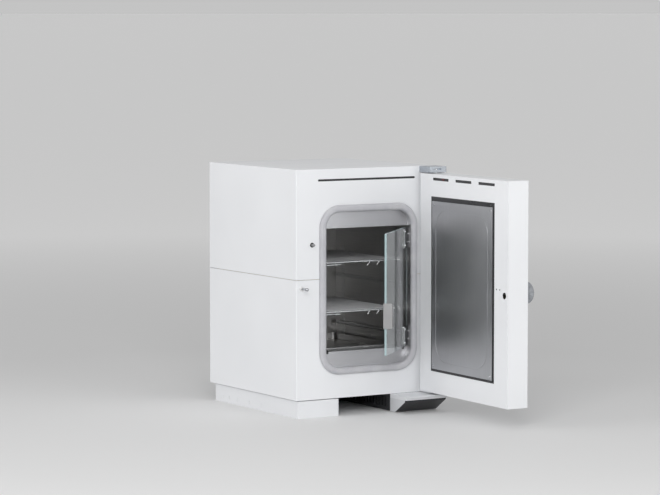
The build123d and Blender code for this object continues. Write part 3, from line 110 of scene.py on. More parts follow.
class Shader:
    """The node tree in which a finish, or the studio's sky, is put together."""

    def __init__(self, name: str, world: bool = False) -> None:
        """Starts an empty tree.

        Args:
            name: The name of the material or world that holds the tree.
            world: Whether a world holds it, and not a material.
        """
        library = bpy.data.worlds if world else bpy.data.materials
        self.holder = library.new(name)
        self.holder.use_nodes = True
        self.tree = self.holder.node_tree
        self.tree.nodes.clear()

    def add(
        self,
        kind: str,
        settings: dict[str, Any] | None = None,
        inputs: dict[str | int, Any] | None = None,
    ) -> bpy.types.Node:
        """Adds a node of any type.

        Args:
            kind: The node's type.
            settings: The node's own settings, which are set first.
            inputs: Values or links by the socket's name, identifier or number.

        Returns:
            The node.
        """
        node = self.tree.nodes.new(kind)
        for name, value in (settings or {}).items():
            setattr(node, name, value)
        for key, value in (inputs or {}).items():
            self._feed(self._socket(node, key), value)
        return node

    @staticmethod
    def _socket(node: bpy.types.Node, key: str | int) -> bpy.types.NodeSocket:
        """Finds an input socket.

        Args:
            node: The node to search.
            key: The socket's name, identifier or number.

        Returns:
            The socket.
        """
        if isinstance(key, int):
            return node.inputs[key]
        for socket in node.inputs:
            if socket.identifier == key:
                return socket
        return node.inputs[key]

    def _feed(self, socket: bpy.types.NodeSocket, value: Any) -> None:
        """Links a socket or sets its constant.

        Args:
            socket: The input to fill.
            value: A Sock, an output socket, a number or a vector.
        """
        if isinstance(value, Sock):
            value = value.socket
        if isinstance(value, bpy.types.NodeSocket):
            self.tree.links.new(value, socket)
        elif socket.type == "RGBA" and len(value) == 3:
            socket.default_value = (*value, 1.0)
        else:
            socket.default_value = value

    def place(self) -> bpy.types.NodeSocket:
        """The surface point in the piece's own metres."""
        return self.add("ShaderNodeTexCoord").outputs["Object"]

    def facing(self) -> bpy.types.NodeSocket:
        """The surface's own direction, in the piece's axes."""
        return self.add("ShaderNodeTexCoord").outputs["Normal"]

    def stretched(self, scale: Sequence[float], turn: float = 0.0) -> bpy.types.NodeSocket:
        """The surface point, scaled apart along its axes.

        Args:
            scale: How many times each axis is scaled.
            turn: Degrees by which the point is first turned about the upright axis.

        Returns:
            The scaled point.
        """
        settings = {"vector_type": "POINT"}
        point = self.place()
        if turn:
            turned = {"Vector": point, "Rotation": (0.0, 0.0, math.radians(turn))}
            point = self.add("ShaderNodeMapping", settings, turned).outputs[0]
        return self.add("ShaderNodeMapping", settings, {"Vector": point, "Scale": scale}).outputs[0]

    def noise(
        self,
        scale: float,
        detail: float = 3.0,
        rough: float = 0.5,
        vector: bpy.types.NodeSocket | None = None,
    ) -> Sock:
        """Soft noise from 0 to 1.

        Args:
            scale: Blobs in a metre.
            detail: Octaves of finer noise.
            rough: How strong the finer noise is.
            vector: The point to read it at; the piece's own point if left out.

        Returns:
            The noise's value.
        """
        inputs = {"Vector": vector or self.place(), "Scale": scale, "Detail": detail}
        node = self.add("ShaderNodeTexNoise", None, {**inputs, "Roughness": rough})
        return Sock(self, node.outputs[0])

    def remap(self, value: Any, low: float, high: float, to_low: float, to_high: float) -> Sock:
        """A value moved from one range to another, and kept in it.

        Args:
            value: The value to move.
            low: The lowest value in.
            high: The highest value in.
            to_low: What the lowest becomes.
            to_high: What the highest becomes.

        Returns:
            The moved value.
        """
        ends = {"From Min": low, "From Max": high, "To Min": to_low, "To Max": to_high}
        node = self.add("ShaderNodeMapRange", {"clamp": True}, {"Value": value, **ends})
        return Sock(self, node.outputs[0])

    def spread(self, value: Any, span: Span = NOISE_SPAN) -> Sock:
        """A value whose span is spread out from 0 to 1, and kept in it."""
        return self.remap(value, *span, 0.0, 1.0)

    def sheen(self, value: Any, gloss: Span) -> Sock:
        """A roughness that follows a noise from the gloss's first end to its second."""
        return self.remap(value, *NOISE_SPAN, *gloss)

    @staticmethod
    def weigh(first: Sock, second: Sock, share: float) -> Sock:
        """Two values added, the first by its share and the second by the rest."""
        return first * share + second * (1.0 - share)

    def seen(self) -> Sock:
        """One on the eye's own rays, in gloss and through glass, else zero."""
        path = self.add("ShaderNodeLightPath").outputs
        kinds = ("Is Camera Ray", "Is Glossy Ray", "Is Transmission Ray")
        camera, gloss, glass = (Sock(self, path[kind]) for kind in kinds)
        return self.spread(camera + gloss + glass, (0.0, 1.0))

    def blend(self, share: Any, first: Any, second: Any) -> bpy.types.NodeSocket:
        """Two colours mixed by a share.

        Args:
            share: 0 for the first, 1 for the second.
            first: The first colour.
            second: The second colour.

        Returns:
            The mixed colour.
        """
        inputs = {"Factor_Float": share, "A_Color": first, "B_Color": second}
        node = self.add("ShaderNodeMix", {"data_type": "RGBA"}, inputs)
        return node.outputs[MIX_COLOUR_RESULT]

    def bump(self, height: Any, strength: float, distance: float) -> bpy.types.NodeSocket:
        """A surface direction bumped by a height from 0 to 1 over metres of distance."""
        inputs = {"Height": height, "Strength": strength, "Distance": distance}
        return self.add("ShaderNodeBump", None, inputs).outputs[0]

    def axes(self, vector: Any) -> tuple[Sock, Sock, Sock]:
        """The three parts of a vector."""
        node = self.add("ShaderNodeSeparateXYZ", None, {0: vector})
        return tuple(Sock(self, out) for out in node.outputs)

    def surface(self, **inputs: Any) -> bpy.types.NodeSocket:
        """A principled surface, its inputs named as the sockets with _ for each space."""
        named = {key.replace("_", " "): value for key, value in inputs.items()}
        return self.add("ShaderNodeBsdfPrincipled", None, named).outputs[0]

    def done(self, surface: bpy.types.NodeSocket) -> bpy.types.Material:
        """Sends a surface to the output and gives back the material."""
        self.add("ShaderNodeOutputMaterial", None, {"Surface": surface})
        return self.holder


@dataclass(frozen=True)
class Finish:
    """What every finish has: a name, and a way to be made."""

    name: str

    def make(self) -> bpy.types.Material:
        """Makes the material."""
        raise NotImplementedError


@dataclass(frozen=True)
class PowderCoat(Finish):
    """Baked powder paint: a faint orange peel and a slightly uneven gloss."""

    colour: Rgb = (0.84, 0.85, 0.87)
    shade: Rgb = (0.80, 0.81, 0.83)
    gloss: Span = (0.34, 0.44)
    peel: float = 0.00003
    cloud: float = 2.2
    cloud_span: Span = (0.35, 0.65)
    grit: float = 750.0
    wave: float = 140.0
    grit_share: float = 0.6
    wear: float = 9.0
    index: float = 1.48

    def make(self) -> bpy.types.Material:
        """Makes the material."""
        shader = Shader(self.name)
        broad = shader.noise(self.cloud, detail=2.0)
        fine = shader.noise(self.grit, detail=2.0)
        waves = shader.noise(self.wave, detail=1.0)
        colour = shader.blend(shader.spread(broad, self.cloud_span), self.shade, self.colour)
        rough = shader.sheen(shader.noise(self.wear, detail=3.0), self.gloss)
        height = shader.weigh(fine, waves, self.grit_share)
        normal = shader.bump(height, strength=0.35, distance=self.peel)
        return shader.done(
            shader.surface(Base_Color=colour, Roughness=rough, Normal=normal, IOR=self.index)
        )


@dataclass(frozen=True)
class BrushedSteel(Finish):
    """Sheet steel with fine brush lines along one direction, and soft smudges."""

    light: Rgb
    dark: Rgb
    grain: Grain
    turn: float = 0.0
    gloss: Span = (0.26, 0.40)
    lines: float = 1800.0
    along: float = 9.0
    smudge: float = 5.0
    line_share: float = 0.65
    shade_span: Span = (0.32, 0.68)
    depth: float = 0.00001

    def make(self) -> bpy.types.Material:
        """Makes the material."""
        shader = Shader(self.name)
        scale = tuple(self.lines if part == 0.0 else self.along for part in self.grain.value)
        brushed = shader.stretched(scale, self.turn)
        lines = shader.noise(1.0, detail=4.0, rough=0.6, vector=brushed)
        smudges = shader.noise(self.smudge, detail=3.0, rough=0.6)
        shade = shader.spread(shader.weigh(lines, smudges, self.line_share), self.shade_span)
        colour = shader.blend(shade, self.dark, self.light)
        rough = shader.sheen(shader.weigh(lines, smudges, 0.5), self.gloss)
        normal = shader.bump(lines, strength=0.4, distance=self.depth)
        return shader.done(
            shader.surface(Base_Color=colour, Roughness=rough, Metallic=1.0, Normal=normal)
        )


@dataclass(frozen=True)
class Polished(Finish):
    """Turned or polished metal, with hairline wipe marks."""

    colour: Rgb = (0.78, 0.79, 0.80)
    gloss: Span = (0.10, 0.20)
    wipe: float = 600.0
    cloud: float = 30.0
    wipe_share: float = 0.4
    shade: float = 0.9
    depth: float = 0.000008

    def make(self) -> bpy.types.Material:
        """Makes the material."""
        shader = Shader(self.name)
        marks = shader.noise(self.wipe, detail=3.0, rough=0.6)
        broad = shader.noise(self.cloud, detail=2.0)
        rough = shader.sheen(shader.weigh(marks, broad, self.wipe_share), self.gloss)
        colour = shader.blend(shader.spread(broad), dimmed(self.colour, self.shade), self.colour)
        normal = shader.bump(marks, strength=0.2, distance=self.depth)
        return shader.done(
            shader.surface(Base_Color=colour, Roughness=rough, Metallic=1.0, Normal=normal)
        )


@dataclass(frozen=True)
class Moulded(Finish):
    """Moulded plastic or rubber, with a fine eroded texture."""

    colour: Rgb
    gloss: Span = (0.42, 0.55)
    texture: float = 1100.0
    cloud: float = 18.0
    shade: float = 0.88
    depth: float = 0.00004

    def make(self) -> bpy.types.Material:
        """Makes the material."""
        shader = Shader(self.name)
        grain = shader.noise(self.texture, detail=2.0, rough=0.6)
        broad = shader.noise(self.cloud, detail=3.0)
        colour = shader.blend(shader.spread(broad), dimmed(self.colour, self.shade), self.colour)
        rough = shader.sheen(broad, self.gloss)
        normal = shader.bump(grain, strength=0.4, distance=self.depth)
        return shader.done(shader.surface(Base_Color=colour, Roughness=rough, Normal=normal))


@dataclass(frozen=True)
class PaleMouldingWithPaintedShade(Finish):
    """A pale moulding whose forward-facing side is painted near black, as painted shade for its
    downward-slanting face.
    """

    pale: Rgb = (0.66, 0.67, 0.69)
    # The colour of the painted shade on the forward-facing side.
    painted_shade: Rgb = (0.026, 0.027, 0.030)
    gloss: Span = (0.32, 0.42)
    painted_shade_from: float = 0.3
    texture: float = 1100.0
    cloud: float = 18.0
    shade: float = 0.94
    depth: float = 0.00004

    def make(self) -> bpy.types.Material:
        """Makes the material."""
        shader = Shader(self.name)
        _, y, _ = shader.axes(shader.facing())
        # Painted shade: forward-facing faces get the near-black colour instead of the pale grey,
        # which the lamps would darken on their own.
        forward = (y * -1.0) > self.painted_shade_from
        broad = shader.noise(self.cloud, detail=3.0)
        tone = shader.blend(forward, self.pale, self.painted_shade)
        darker = shader.blend(forward, dimmed(self.pale, self.shade), self.painted_shade)
        colour = shader.blend(shader.spread(broad), darker, tone)
        rough = shader.sheen(broad, self.gloss)
        grain = shader.noise(self.texture, detail=2.0, rough=0.6)
        normal = shader.bump(grain, strength=0.4, distance=self.depth)
        return shader.done(shader.surface(Base_Color=colour, Roughness=rough, Normal=normal))


@dataclass(frozen=True)
class SheetGlass(Finish):
    """Clear float glass whose cut edges gather a pale blue-green."""

    face: Rgb = (0.93, 0.97, 0.965)
    edge: Rgb = (0.54, 0.72, 0.75)
    across: tuple[float, float] = (-0.7071, 0.7071)
    face_from: float = 0.6
    smear: float = 14.0
    smear_span: Span = (0.45, 0.75)
    gloss: Span = (0.0, 0.05)
    ground: float = 1500.0
    ground_depth: float = 0.00003
    index: float = 1.5

    def make(self) -> bpy.types.Material:
        """Makes the material."""
        shader = Shader(self.name)
        smears = shader.noise(self.smear, detail=4.0, rough=0.65)
        rough = shader.remap(smears, *self.smear_span, *self.gloss)
        clear = shader.surface(
            Base_Color=self.face, Roughness=rough, Transmission_Weight=1.0, IOR=self.index
        )
        ground = shader.noise(self.ground, detail=2.0)
        rim = shader.surface(
            Base_Color=self.edge,
            Roughness=0.25,
            Transmission_Weight=0.35,
            IOR=self.index,
            Normal=shader.bump(ground, strength=0.3, distance=self.ground_depth),
            Coat_Weight=0.4,
        )
        x, y, _ = shader.axes(shader.facing())
        front = abs(x * self.across[0] + y * self.across[1])
        inputs = {0: front > self.face_from, 1: rim, 2: clear}
        return shader.done(shader.add("ShaderNodeMixShader", None, inputs).outputs[0])


@dataclass(frozen=True)
class Lens(Finish):
    """A smoked window over a lit display."""

    colour: Rgb = (0.030, 0.008, 0.010)
    gloss: Span = (0.06, 0.14)
    smear: float = 60.0

    def make(self) -> bpy.types.Material:
        """Makes the material."""
        shader = Shader(self.name)
        rough = shader.sheen(shader.noise(self.smear, detail=3.0), self.gloss)
        return shader.done(
            shader.surface(Base_Color=self.colour, Roughness=rough, Coat_Weight=0.6)
        )


@dataclass(frozen=True)
class Glow(Finish):
    """A lit segment of a number display, a little uneven in its light."""

    colour: Rgb = (1.0, 0.06, 0.08)
    strength: float = 1.2
    unlit: Rgb = (0.10, 0.01, 0.012)
    cell: float = 260.0
    shade: float = 0.65

    def make(self) -> bpy.types.Material:
        """Makes the material."""
        shader = Shader(self.name)
        cells = shader.noise(self.cell, detail=1.0)
        colour = shader.blend(shader.spread(cells), dimmed(self.colour, self.shade), self.colour)
        return shader.done(
            shader.surface(
                Base_Color=self.unlit,
                Roughness=0.4,
                Emission_Color=colour,
                Emission_Strength=self.strength,
            )
        )


@dataclass(frozen=True)
class Fibrous(Finish):
    """Matted wool or open foam, with a deep uneven surface."""

    light: Rgb = (0.62, 0.56, 0.38)
    dark: Rgb = (0.42, 0.36, 0.22)
    clumps: float = 160.0
    depth: float = 0.0012
    threads: tuple[float, float, float] = (900.0, 120.0, 700.0)
    tuft_share: float = 0.6
    thread_height: float = 0.3

    def make(self) -> bpy.types.Material:
        """Makes the material."""
        shader = Shader(self.name)
        tufts = shader.noise(self.clumps, detail=5.0, rough=0.7)
        drawn = shader.stretched(self.threads)
        threads = shader.noise(1.0, detail=3.0, rough=0.6, vector=drawn)
        share = shader.spread(shader.weigh(tufts, threads, self.tuft_share))
        colour = shader.blend(share, self.dark, self.light)
        height = tufts + threads * self.thread_height
        normal = shader.bump(height, strength=0.8, distance=self.depth)
        return shader.done(shader.surface(Base_Color=colour, Roughness=0.95, Normal=normal))


@dataclass(frozen=True)
class CircuitBoard(Finish):
    """Green solder resist with paler traces under it."""

    board: Rgb = (0.03, 0.16, 0.07)
    trace: Rgb = (0.07, 0.30, 0.14)
    cell: float = 160.0
    jitter: float = 0.35
    trace_span: Span = (0.30, 0.34)
    depth: float = 0.00004

    def make(self) -> bpy.types.Material:
        """Makes the material."""
        shader = Shader(self.name)
        inputs = {"Vector": shader.place(), "Scale": self.cell, "Randomness": self.jitter}
        cells = shader.add("ShaderNodeTexVoronoi", {"distance": "CHEBYCHEV"}, inputs)
        mask = shader.spread(cells.outputs["Distance"], self.trace_span)
        colour = shader.blend(mask, self.board, self.trace)
        normal = shader.bump(mask, strength=0.5, distance=self.depth)
        return shader.done(
            shader.surface(Base_Color=colour, Roughness=0.35, Normal=normal, Coat_Weight=0.4)
        )


@dataclass(frozen=True)
class Polymer(Finish):
    """Soft silicone: matt, a little uneven, dusted in patches."""

    colour: Rgb = (0.48, 0.48, 0.51)
    dust: Rgb = (0.55, 0.55, 0.57)
    gloss: Span = (0.48, 0.62)
    cloud: float = 24.0
    dust_span: Span = (0.4, 0.7)
    grain: float = 1600.0
    depth: float = 0.00003

    def make(self) -> bpy.types.Material:
        """Makes the material."""
        shader = Shader(self.name)
        broad = shader.noise(self.cloud, detail=4.0, rough=0.6)
        fine = shader.noise(self.grain, detail=2.0)
        colour = shader.blend(shader.spread(broad, self.dust_span), self.colour, self.dust)
        rough = shader.sheen(broad, self.gloss)
        normal = shader.bump(fine, strength=0.3, distance=self.depth)
        return shader.done(shader.surface(Base_Color=colour, Roughness=rough, Normal=normal))


class Wardrobe:
    """Makes each finish once and puts it on the CAD pieces."""

    def __init__(self) -> None:
        """Starts with no finish made."""
        self._made: dict[str, bpy.types.Material] = {}

    def material(self, finish: Finish) -> bpy.types.Material:
        """The material of a finish, made when it is first asked for."""
        if finish.name not in self._made:
            self._made[finish.name] = finish.make()
        return self._made[finish.name]

    def dress(self, finish: Finish, *nodes: str) -> None:
        """Puts a finish on CAD pieces.

        Args:
            finish: The finish.
            *nodes: The pieces' names.
        """
        material = self.material(finish)
        for name in nodes:
            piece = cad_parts[name]
            for place in piece.material_slots:
                place.material = material
            if not piece.material_slots:
                piece.data.materials.append(material)
        LOG.info("%s on %s", finish.name, ", ".join(nodes))


class Maker:
    """Puts new meshes into the scene."""

    BEVEL_SHARE = 0.12
    BEVEL_PROFILE = 0.6

    @staticmethod
    def mesh(name: str, body: str, slot: str, shape: bmesh.types.BMesh) -> bpy.types.Object:
        """Makes a piece of a mesh.

        Args:
            name: The piece's name.
            body: The body it rides on.
            slot: The name of a material slot in the record; not used.
            shape: The mesh, which is used up.

        Returns:
            The piece.
        """
        data = bpy.data.meshes.new(name)
        shape.to_mesh(data)
        shape.free()
        piece = bpy.data.objects.new(name, data)
        bpy.context.scene.collection.objects.link(piece)
        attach(piece, body)
        LOG.info("%s on %s", name, body)
        return piece

    @staticmethod
    def box(
        shape: bmesh.types.BMesh, centre: Sequence[float], size: Sequence[float], turn: Matrix
    ) -> None:
        """Adds a box with small bevels to a mesh.

        Args:
            shape: The mesh to add to.
            centre: The box's middle, before the turn.
            size: The box's three sizes.
            turn: Where the box goes.
        """
        place = turn @ Matrix.Translation(Vector(centre)) @ Matrix.Diagonal((*size, 1.0))
        made = bmesh.ops.create_cube(shape, size=1.0, matrix=place)
        edges = {edge for vert in made["verts"] for edge in vert.link_edges}
        bmesh.ops.bevel(
            shape, geom=list(edges), offset=min(size) * Maker.BEVEL_SHARE, segments=2,
            affect="EDGES", profile=Maker.BEVEL_PROFILE,
        )


@dataclass
class DoorFrame:
    """The outer door's own axes: closed places go to where the open door has them."""

    hinge: tuple[float, float] = (0.219, -0.318)
    angle: float = 87.6
    inner_y: float = -0.282
    outer_y: float = -0.355
    slot_z: float = 0.7195
    pitch: float = 0.131
    display_z: float = 0.7155

    def matrix(self) -> Matrix:
        """The turn about the hinge that opens the door."""
        to_hinge = Matrix.Translation((self.hinge[0], self.hinge[1], 0.0))
        turn = Matrix.Rotation(math.radians(self.angle), 4, "Z")
        return to_hinge @ turn @ to_hinge.inverted()


@dataclass
class Shelf:
    """One shelf, named as its body is, whose expanded metal is woven strand by strand."""

    name: str
    long_way: float = 0.0180
    short_way: float = 0.0085
    strand: float = 0.0014

    def weave(self, wardrobe: Wardrobe, finish: Finish) -> bpy.types.Object:
        """Makes the expanded metal in place of the plain CAD sheet.

        Args:
            wardrobe: Where finishes are made.
            finish: The metal's finish.

        Returns:
            The woven sheet.
        """
        node = f"{self.name}_mesh"
        low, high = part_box(node)
        columns = round((high.x - low.x - self.strand) / self.long_way)
        rows = round((high.y - low.y - self.strand) / self.short_way)
        step = Vector(
            ((high.x - low.x - self.strand) / columns, (high.y - low.y - self.strand) / rows)
        )
        start = Vector((low.x + self.strand / 2, low.y + self.strand / 2))
        level = (low.z + high.z) / 2
        shape = bmesh.new()
        knots: dict[tuple[int, int], bmesh.types.BMVert] = {}

        def knot(i: int, j: int) -> bmesh.types.BMVert:
            """The vertex at half steps i and j, made once."""
            if (i, j) not in knots:
                point = (start.x + step.x * i / 2, start.y + step.y * j / 2, level)
                knots[(i, j)] = shape.verts.new(point)
            return knots[(i, j)]

        for j in range(0, 2 * rows + 1):
            for i in range(0, 2 * columns + 1):
                if (i + j) % 2 == 0 and 0 < i < 2 * columns and 0 < j < 2 * rows:
                    if i % 2 == 1 or j % 2 == 0:
                        ring = (knot(i - 1, j), knot(i, j - 1), knot(i + 1, j), knot(i, j + 1))
                        shape.faces.new(ring)
        bmesh.ops.recalc_face_normals(shape, faces=shape.faces)
        piece = Maker.mesh(f"{self.name}_expanded_metal", self.name, "stainless_bright", shape)
        strands = piece.modifiers.new("strands", "WIREFRAME")
        strands.thickness = self.strand
        strands.use_even_offset = False
        strands.use_boundary = True
        strands.use_replace = True
        self._apply(piece)
        piece.data.materials.append(wardrobe.material(finish))
        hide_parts(node)
        LOG.info("%s: %d by %d meshes", piece.name, columns, rows)
        return piece

    @staticmethod
    def _apply(piece: bpy.types.Object) -> None:
        """Applies a piece's modifiers to its mesh."""
        graph = bpy.context.evaluated_depsgraph_get()
        data = bpy.data.meshes.new_from_object(piece.evaluated_get(graph))
        piece.modifiers.clear()
        piece.data = data


@dataclass
class NumberDisplay:
    """A row of seven-segment numerals behind a window."""

    numerals: str
    height: float
    slant: float = 0.10
    bar: float = 0.12
    reach: float = 0.8
    thickness: float = 0.0002
    width_share: float = 0.55
    pitch_share: float = 1.55

    SEGMENTS = {
        "0": "abcdef",
        "1": "bc",
        "2": "abdeg",
        "3": "abcdg",
        "4": "bcfg",
        "5": "acdfg",
        "6": "acdefg",
        "7": "abc",
        "8": "abcdefg",
        "9": "abcdfg",
    }

    def build(self, name: str, turn: Matrix, material: bpy.types.Material) -> bpy.types.Object:
        """Makes the lit bars.

        Args:
            name: The piece's name.
            turn: Where the row's middle goes, with X along the row and Z up.
            material: The glow.

        Returns:
            The row of numerals.
        """
        width = self.height * self.width_share
        pitch = width * self.pitch_share
        places = [c for c in self.numerals if c != "."]
        start = -(len(places) - 1) / 2 * pitch
        shape = bmesh.new()
        index = -1
        for character in self.numerals:
            if character == ".":
                x = start + index * pitch + pitch / 2
                dot = (x, 0.0, -self.height / 2)
                self._bar(shape, dot, (self.bar, self.bar), turn)
                continue
            index += 1
            for segment in self.SEGMENTS[character]:
                self._segment(shape, segment, start + index * pitch, width, turn)
        piece = Maker.mesh(name, "outer_door", "tinted_lens", shape)
        piece.data.materials.append(material)
        return piece

    def _segment(
        self, shape: bmesh.types.BMesh, segment: str, x: float, width: float, turn: Matrix
    ) -> None:
        """Adds one lit bar.

        Args:
            shape: The mesh to add to.
            segment: The bar's letter, from a to g.
            x: The numeral's middle.
            width: The numeral's width.
            turn: Where the row goes.
        """
        half_w, half_h = width / 2, self.height / 2
        flat = {"a": half_h, "g": 0.0, "d": -half_h}
        side = {"f": (-1, 1), "b": (1, 1), "e": (-1, -1), "c": (1, -1)}
        if segment in flat:
            z = flat[segment]
            share = (width / half_h * self.reach, self.bar)
            self._bar(shape, (x + z * self.slant, 0.0, z), share, turn)
        else:
            across, up = side[segment]
            z = up * half_h / 2
            centre = (x + across * half_w + z * self.slant, 0.0, z)
            self._bar(shape, centre, (self.bar, self.reach), turn)

    def _bar(
        self,
        shape: bmesh.types.BMesh,
        centre: Sequence[float],
        share: Sequence[float],
        turn: Matrix,
    ) -> None:
        """Adds a flat bar.

        Args:
            shape: The mesh to add to.
            centre: The bar's middle.
            share: Its width and height as shares of half the numeral's height.
            turn: Where the row goes.
        """
        unit = self.height / 2
        size = (share[0] * unit, self.thickness, share[1] * unit)
        Maker.box(shape, centre, size, turn)


WHITE_PAINT = PowderCoat("white_powder_coat")


@dataclass
class Cabinet:
    """The painted body, its front fittings, its plinth and the sheets at its back."""

    def dress(self, wardrobe: Wardrobe) -> None:
        """Puts the cabinet's finishes on."""
        wardrobe.dress(WHITE_PAINT, "upper_cover", "lower_cover", "hinge_bracket_bottom")
        plinth = PowderCoat("plinth_powder_coat", (0.80, 0.81, 0.83), (0.76, 0.77, 0.79))
        wardrobe.dress(plinth, "plinth")
        # The blue cast in this colour is a painted reflection of blue surroundings; the grey is the
        # aluminium's own.
        bracket = BrushedSteel(
            "satin_aluminium", (0.48, 0.51, 0.55), (0.42, 0.45, 0.49), Grain.ACROSS,
            gloss=(0.22, 0.34),
        )
        wardrobe.dress(bracket, "hinge_bracket_top")
        sheet = BrushedSteel(
            "zinc_sheet", (0.60, 0.62, 0.64), (0.50, 0.52, 0.54), Grain.ACROSS, lines=120.0,
            gloss=(0.45, 0.60),
        )
        wardrobe.dress(sheet, "base_pan", "rear_panel", "electronics_tray", "latch_bracket")
        bright = Polished("turned_steel")
        wardrobe.dress(bright, "hinge_pins", "rear_screws", "door_screws")
        wardrobe.dress(Polished("pin_steel", (0.46, 0.47, 0.49)), "striker_pin")
        wardrobe.dress(Moulded("white_nylon", (0.78, 0.78, 0.78)), "striker_collar")
        black = Moulded("black_moulding", (0.022, 0.022, 0.024))
        wardrobe.dress(black, "slot_trim", "door_switch_body", "power_inlet")
        wardrobe.dress(Moulded("grey_button", (0.30, 0.30, 0.31)), "door_switch_button")
        wardrobe.dress(Polished("brass_tail", (0.74, 0.56, 0.27)), "gas_inlets")
        wardrobe.dress(Moulded("white_silicone", (0.70, 0.70, 0.68), texture=400.0), "port_plug")
        wardrobe.dress(Fibrous("mineral_wool"), "insulation_blocks")
        wardrobe.dress(CircuitBoard("circuit_board"), "control_board")


@dataclass
class Chamber:
    """The steel tank, its frame and gasket, its racks, pan and shelves."""

    def dress(self, wardrobe: Wardrobe) -> None:
        """Puts the chamber's finishes on."""
        tank = BrushedSteel(
            "tank_steel", (0.56, 0.555, 0.55), (0.44, 0.435, 0.43), Grain.INWARD,
            gloss=(0.28, 0.42), lines=900.0,
        )
        wardrobe.dress(tank, "chamber_liner", "water_pan")
        rails = BrushedSteel(
            "rail_steel", (0.52, 0.52, 0.52), (0.42, 0.42, 0.42), Grain.INWARD, gloss=(0.25, 0.35)
        )
        wardrobe.dress(rails, "shelf_rails_left", "shelf_rails_right")
        lips = BrushedSteel(
            "frame_steel", (0.58, 0.58, 0.595), (0.50, 0.50, 0.515), Grain.ACROSS,
            gloss=(0.30, 0.42),
        )
        wardrobe.dress(lips, "front_frame", "glass_hinge_lugs")
        wardrobe.dress(Polymer("gasket_silicone"), "door_gasket")
        wires = Polished("drawn_wire", (0.74, 0.74, 0.745), (0.16, 0.28))
        wardrobe.dress(wires, "lower_shelf_frame", "upper_shelf_frame", "glass_hinge_pins")
        wardrobe.dress(Polished("probe_sheath"), "temperature_probe")
        pipe = BrushedSteel("port_pipe", (0.66, 0.67, 0.69), (0.56, 0.57, 0.59), Grain.INWARD)
        wardrobe.dress(pipe, "access_port")
        wardrobe.dress(Moulded("heater_foil", (0.40, 0.17, 0.08), (0.3, 0.4)), "chamber_heaters")
        wardrobe.dress(Moulded("black_rubber", (0.018, 0.018, 0.018)), "glass_door_bumpers")
        expanded = BrushedSteel(
            "expanded_steel", (0.66, 0.66, 0.67), (0.50, 0.50, 0.51), Grain.ACROSS,
            gloss=(0.25, 0.38), lines=500.0,
        )
        for name in ("lower_shelf", "upper_shelf"):
            Shelf(name).weave(wardrobe, expanded)


@dataclass
class ServiceUnit:
    """The unit under the cabinet: louvred housing, nose and lip."""

    def dress(self, wardrobe: Wardrobe) -> None:
        """Puts the unit's finishes on."""
        housing = PowderCoat(
            "dark_powder_coat", (0.030, 0.030, 0.033), (0.022, 0.022, 0.024), (0.45, 0.60)
        )
        wardrobe.dress(housing, "service_unit_housing")
        # The nose's dark forward face is painted shade on a pale grey moulding.
        wardrobe.dress(PaleMouldingWithPaintedShade("nose_moulding"), "service_unit_nose")
        lip = PowderCoat("lip_moulding", (0.74, 0.75, 0.77), (0.70, 0.71, 0.73))
        wardrobe.dress(lip, "service_unit_lip")


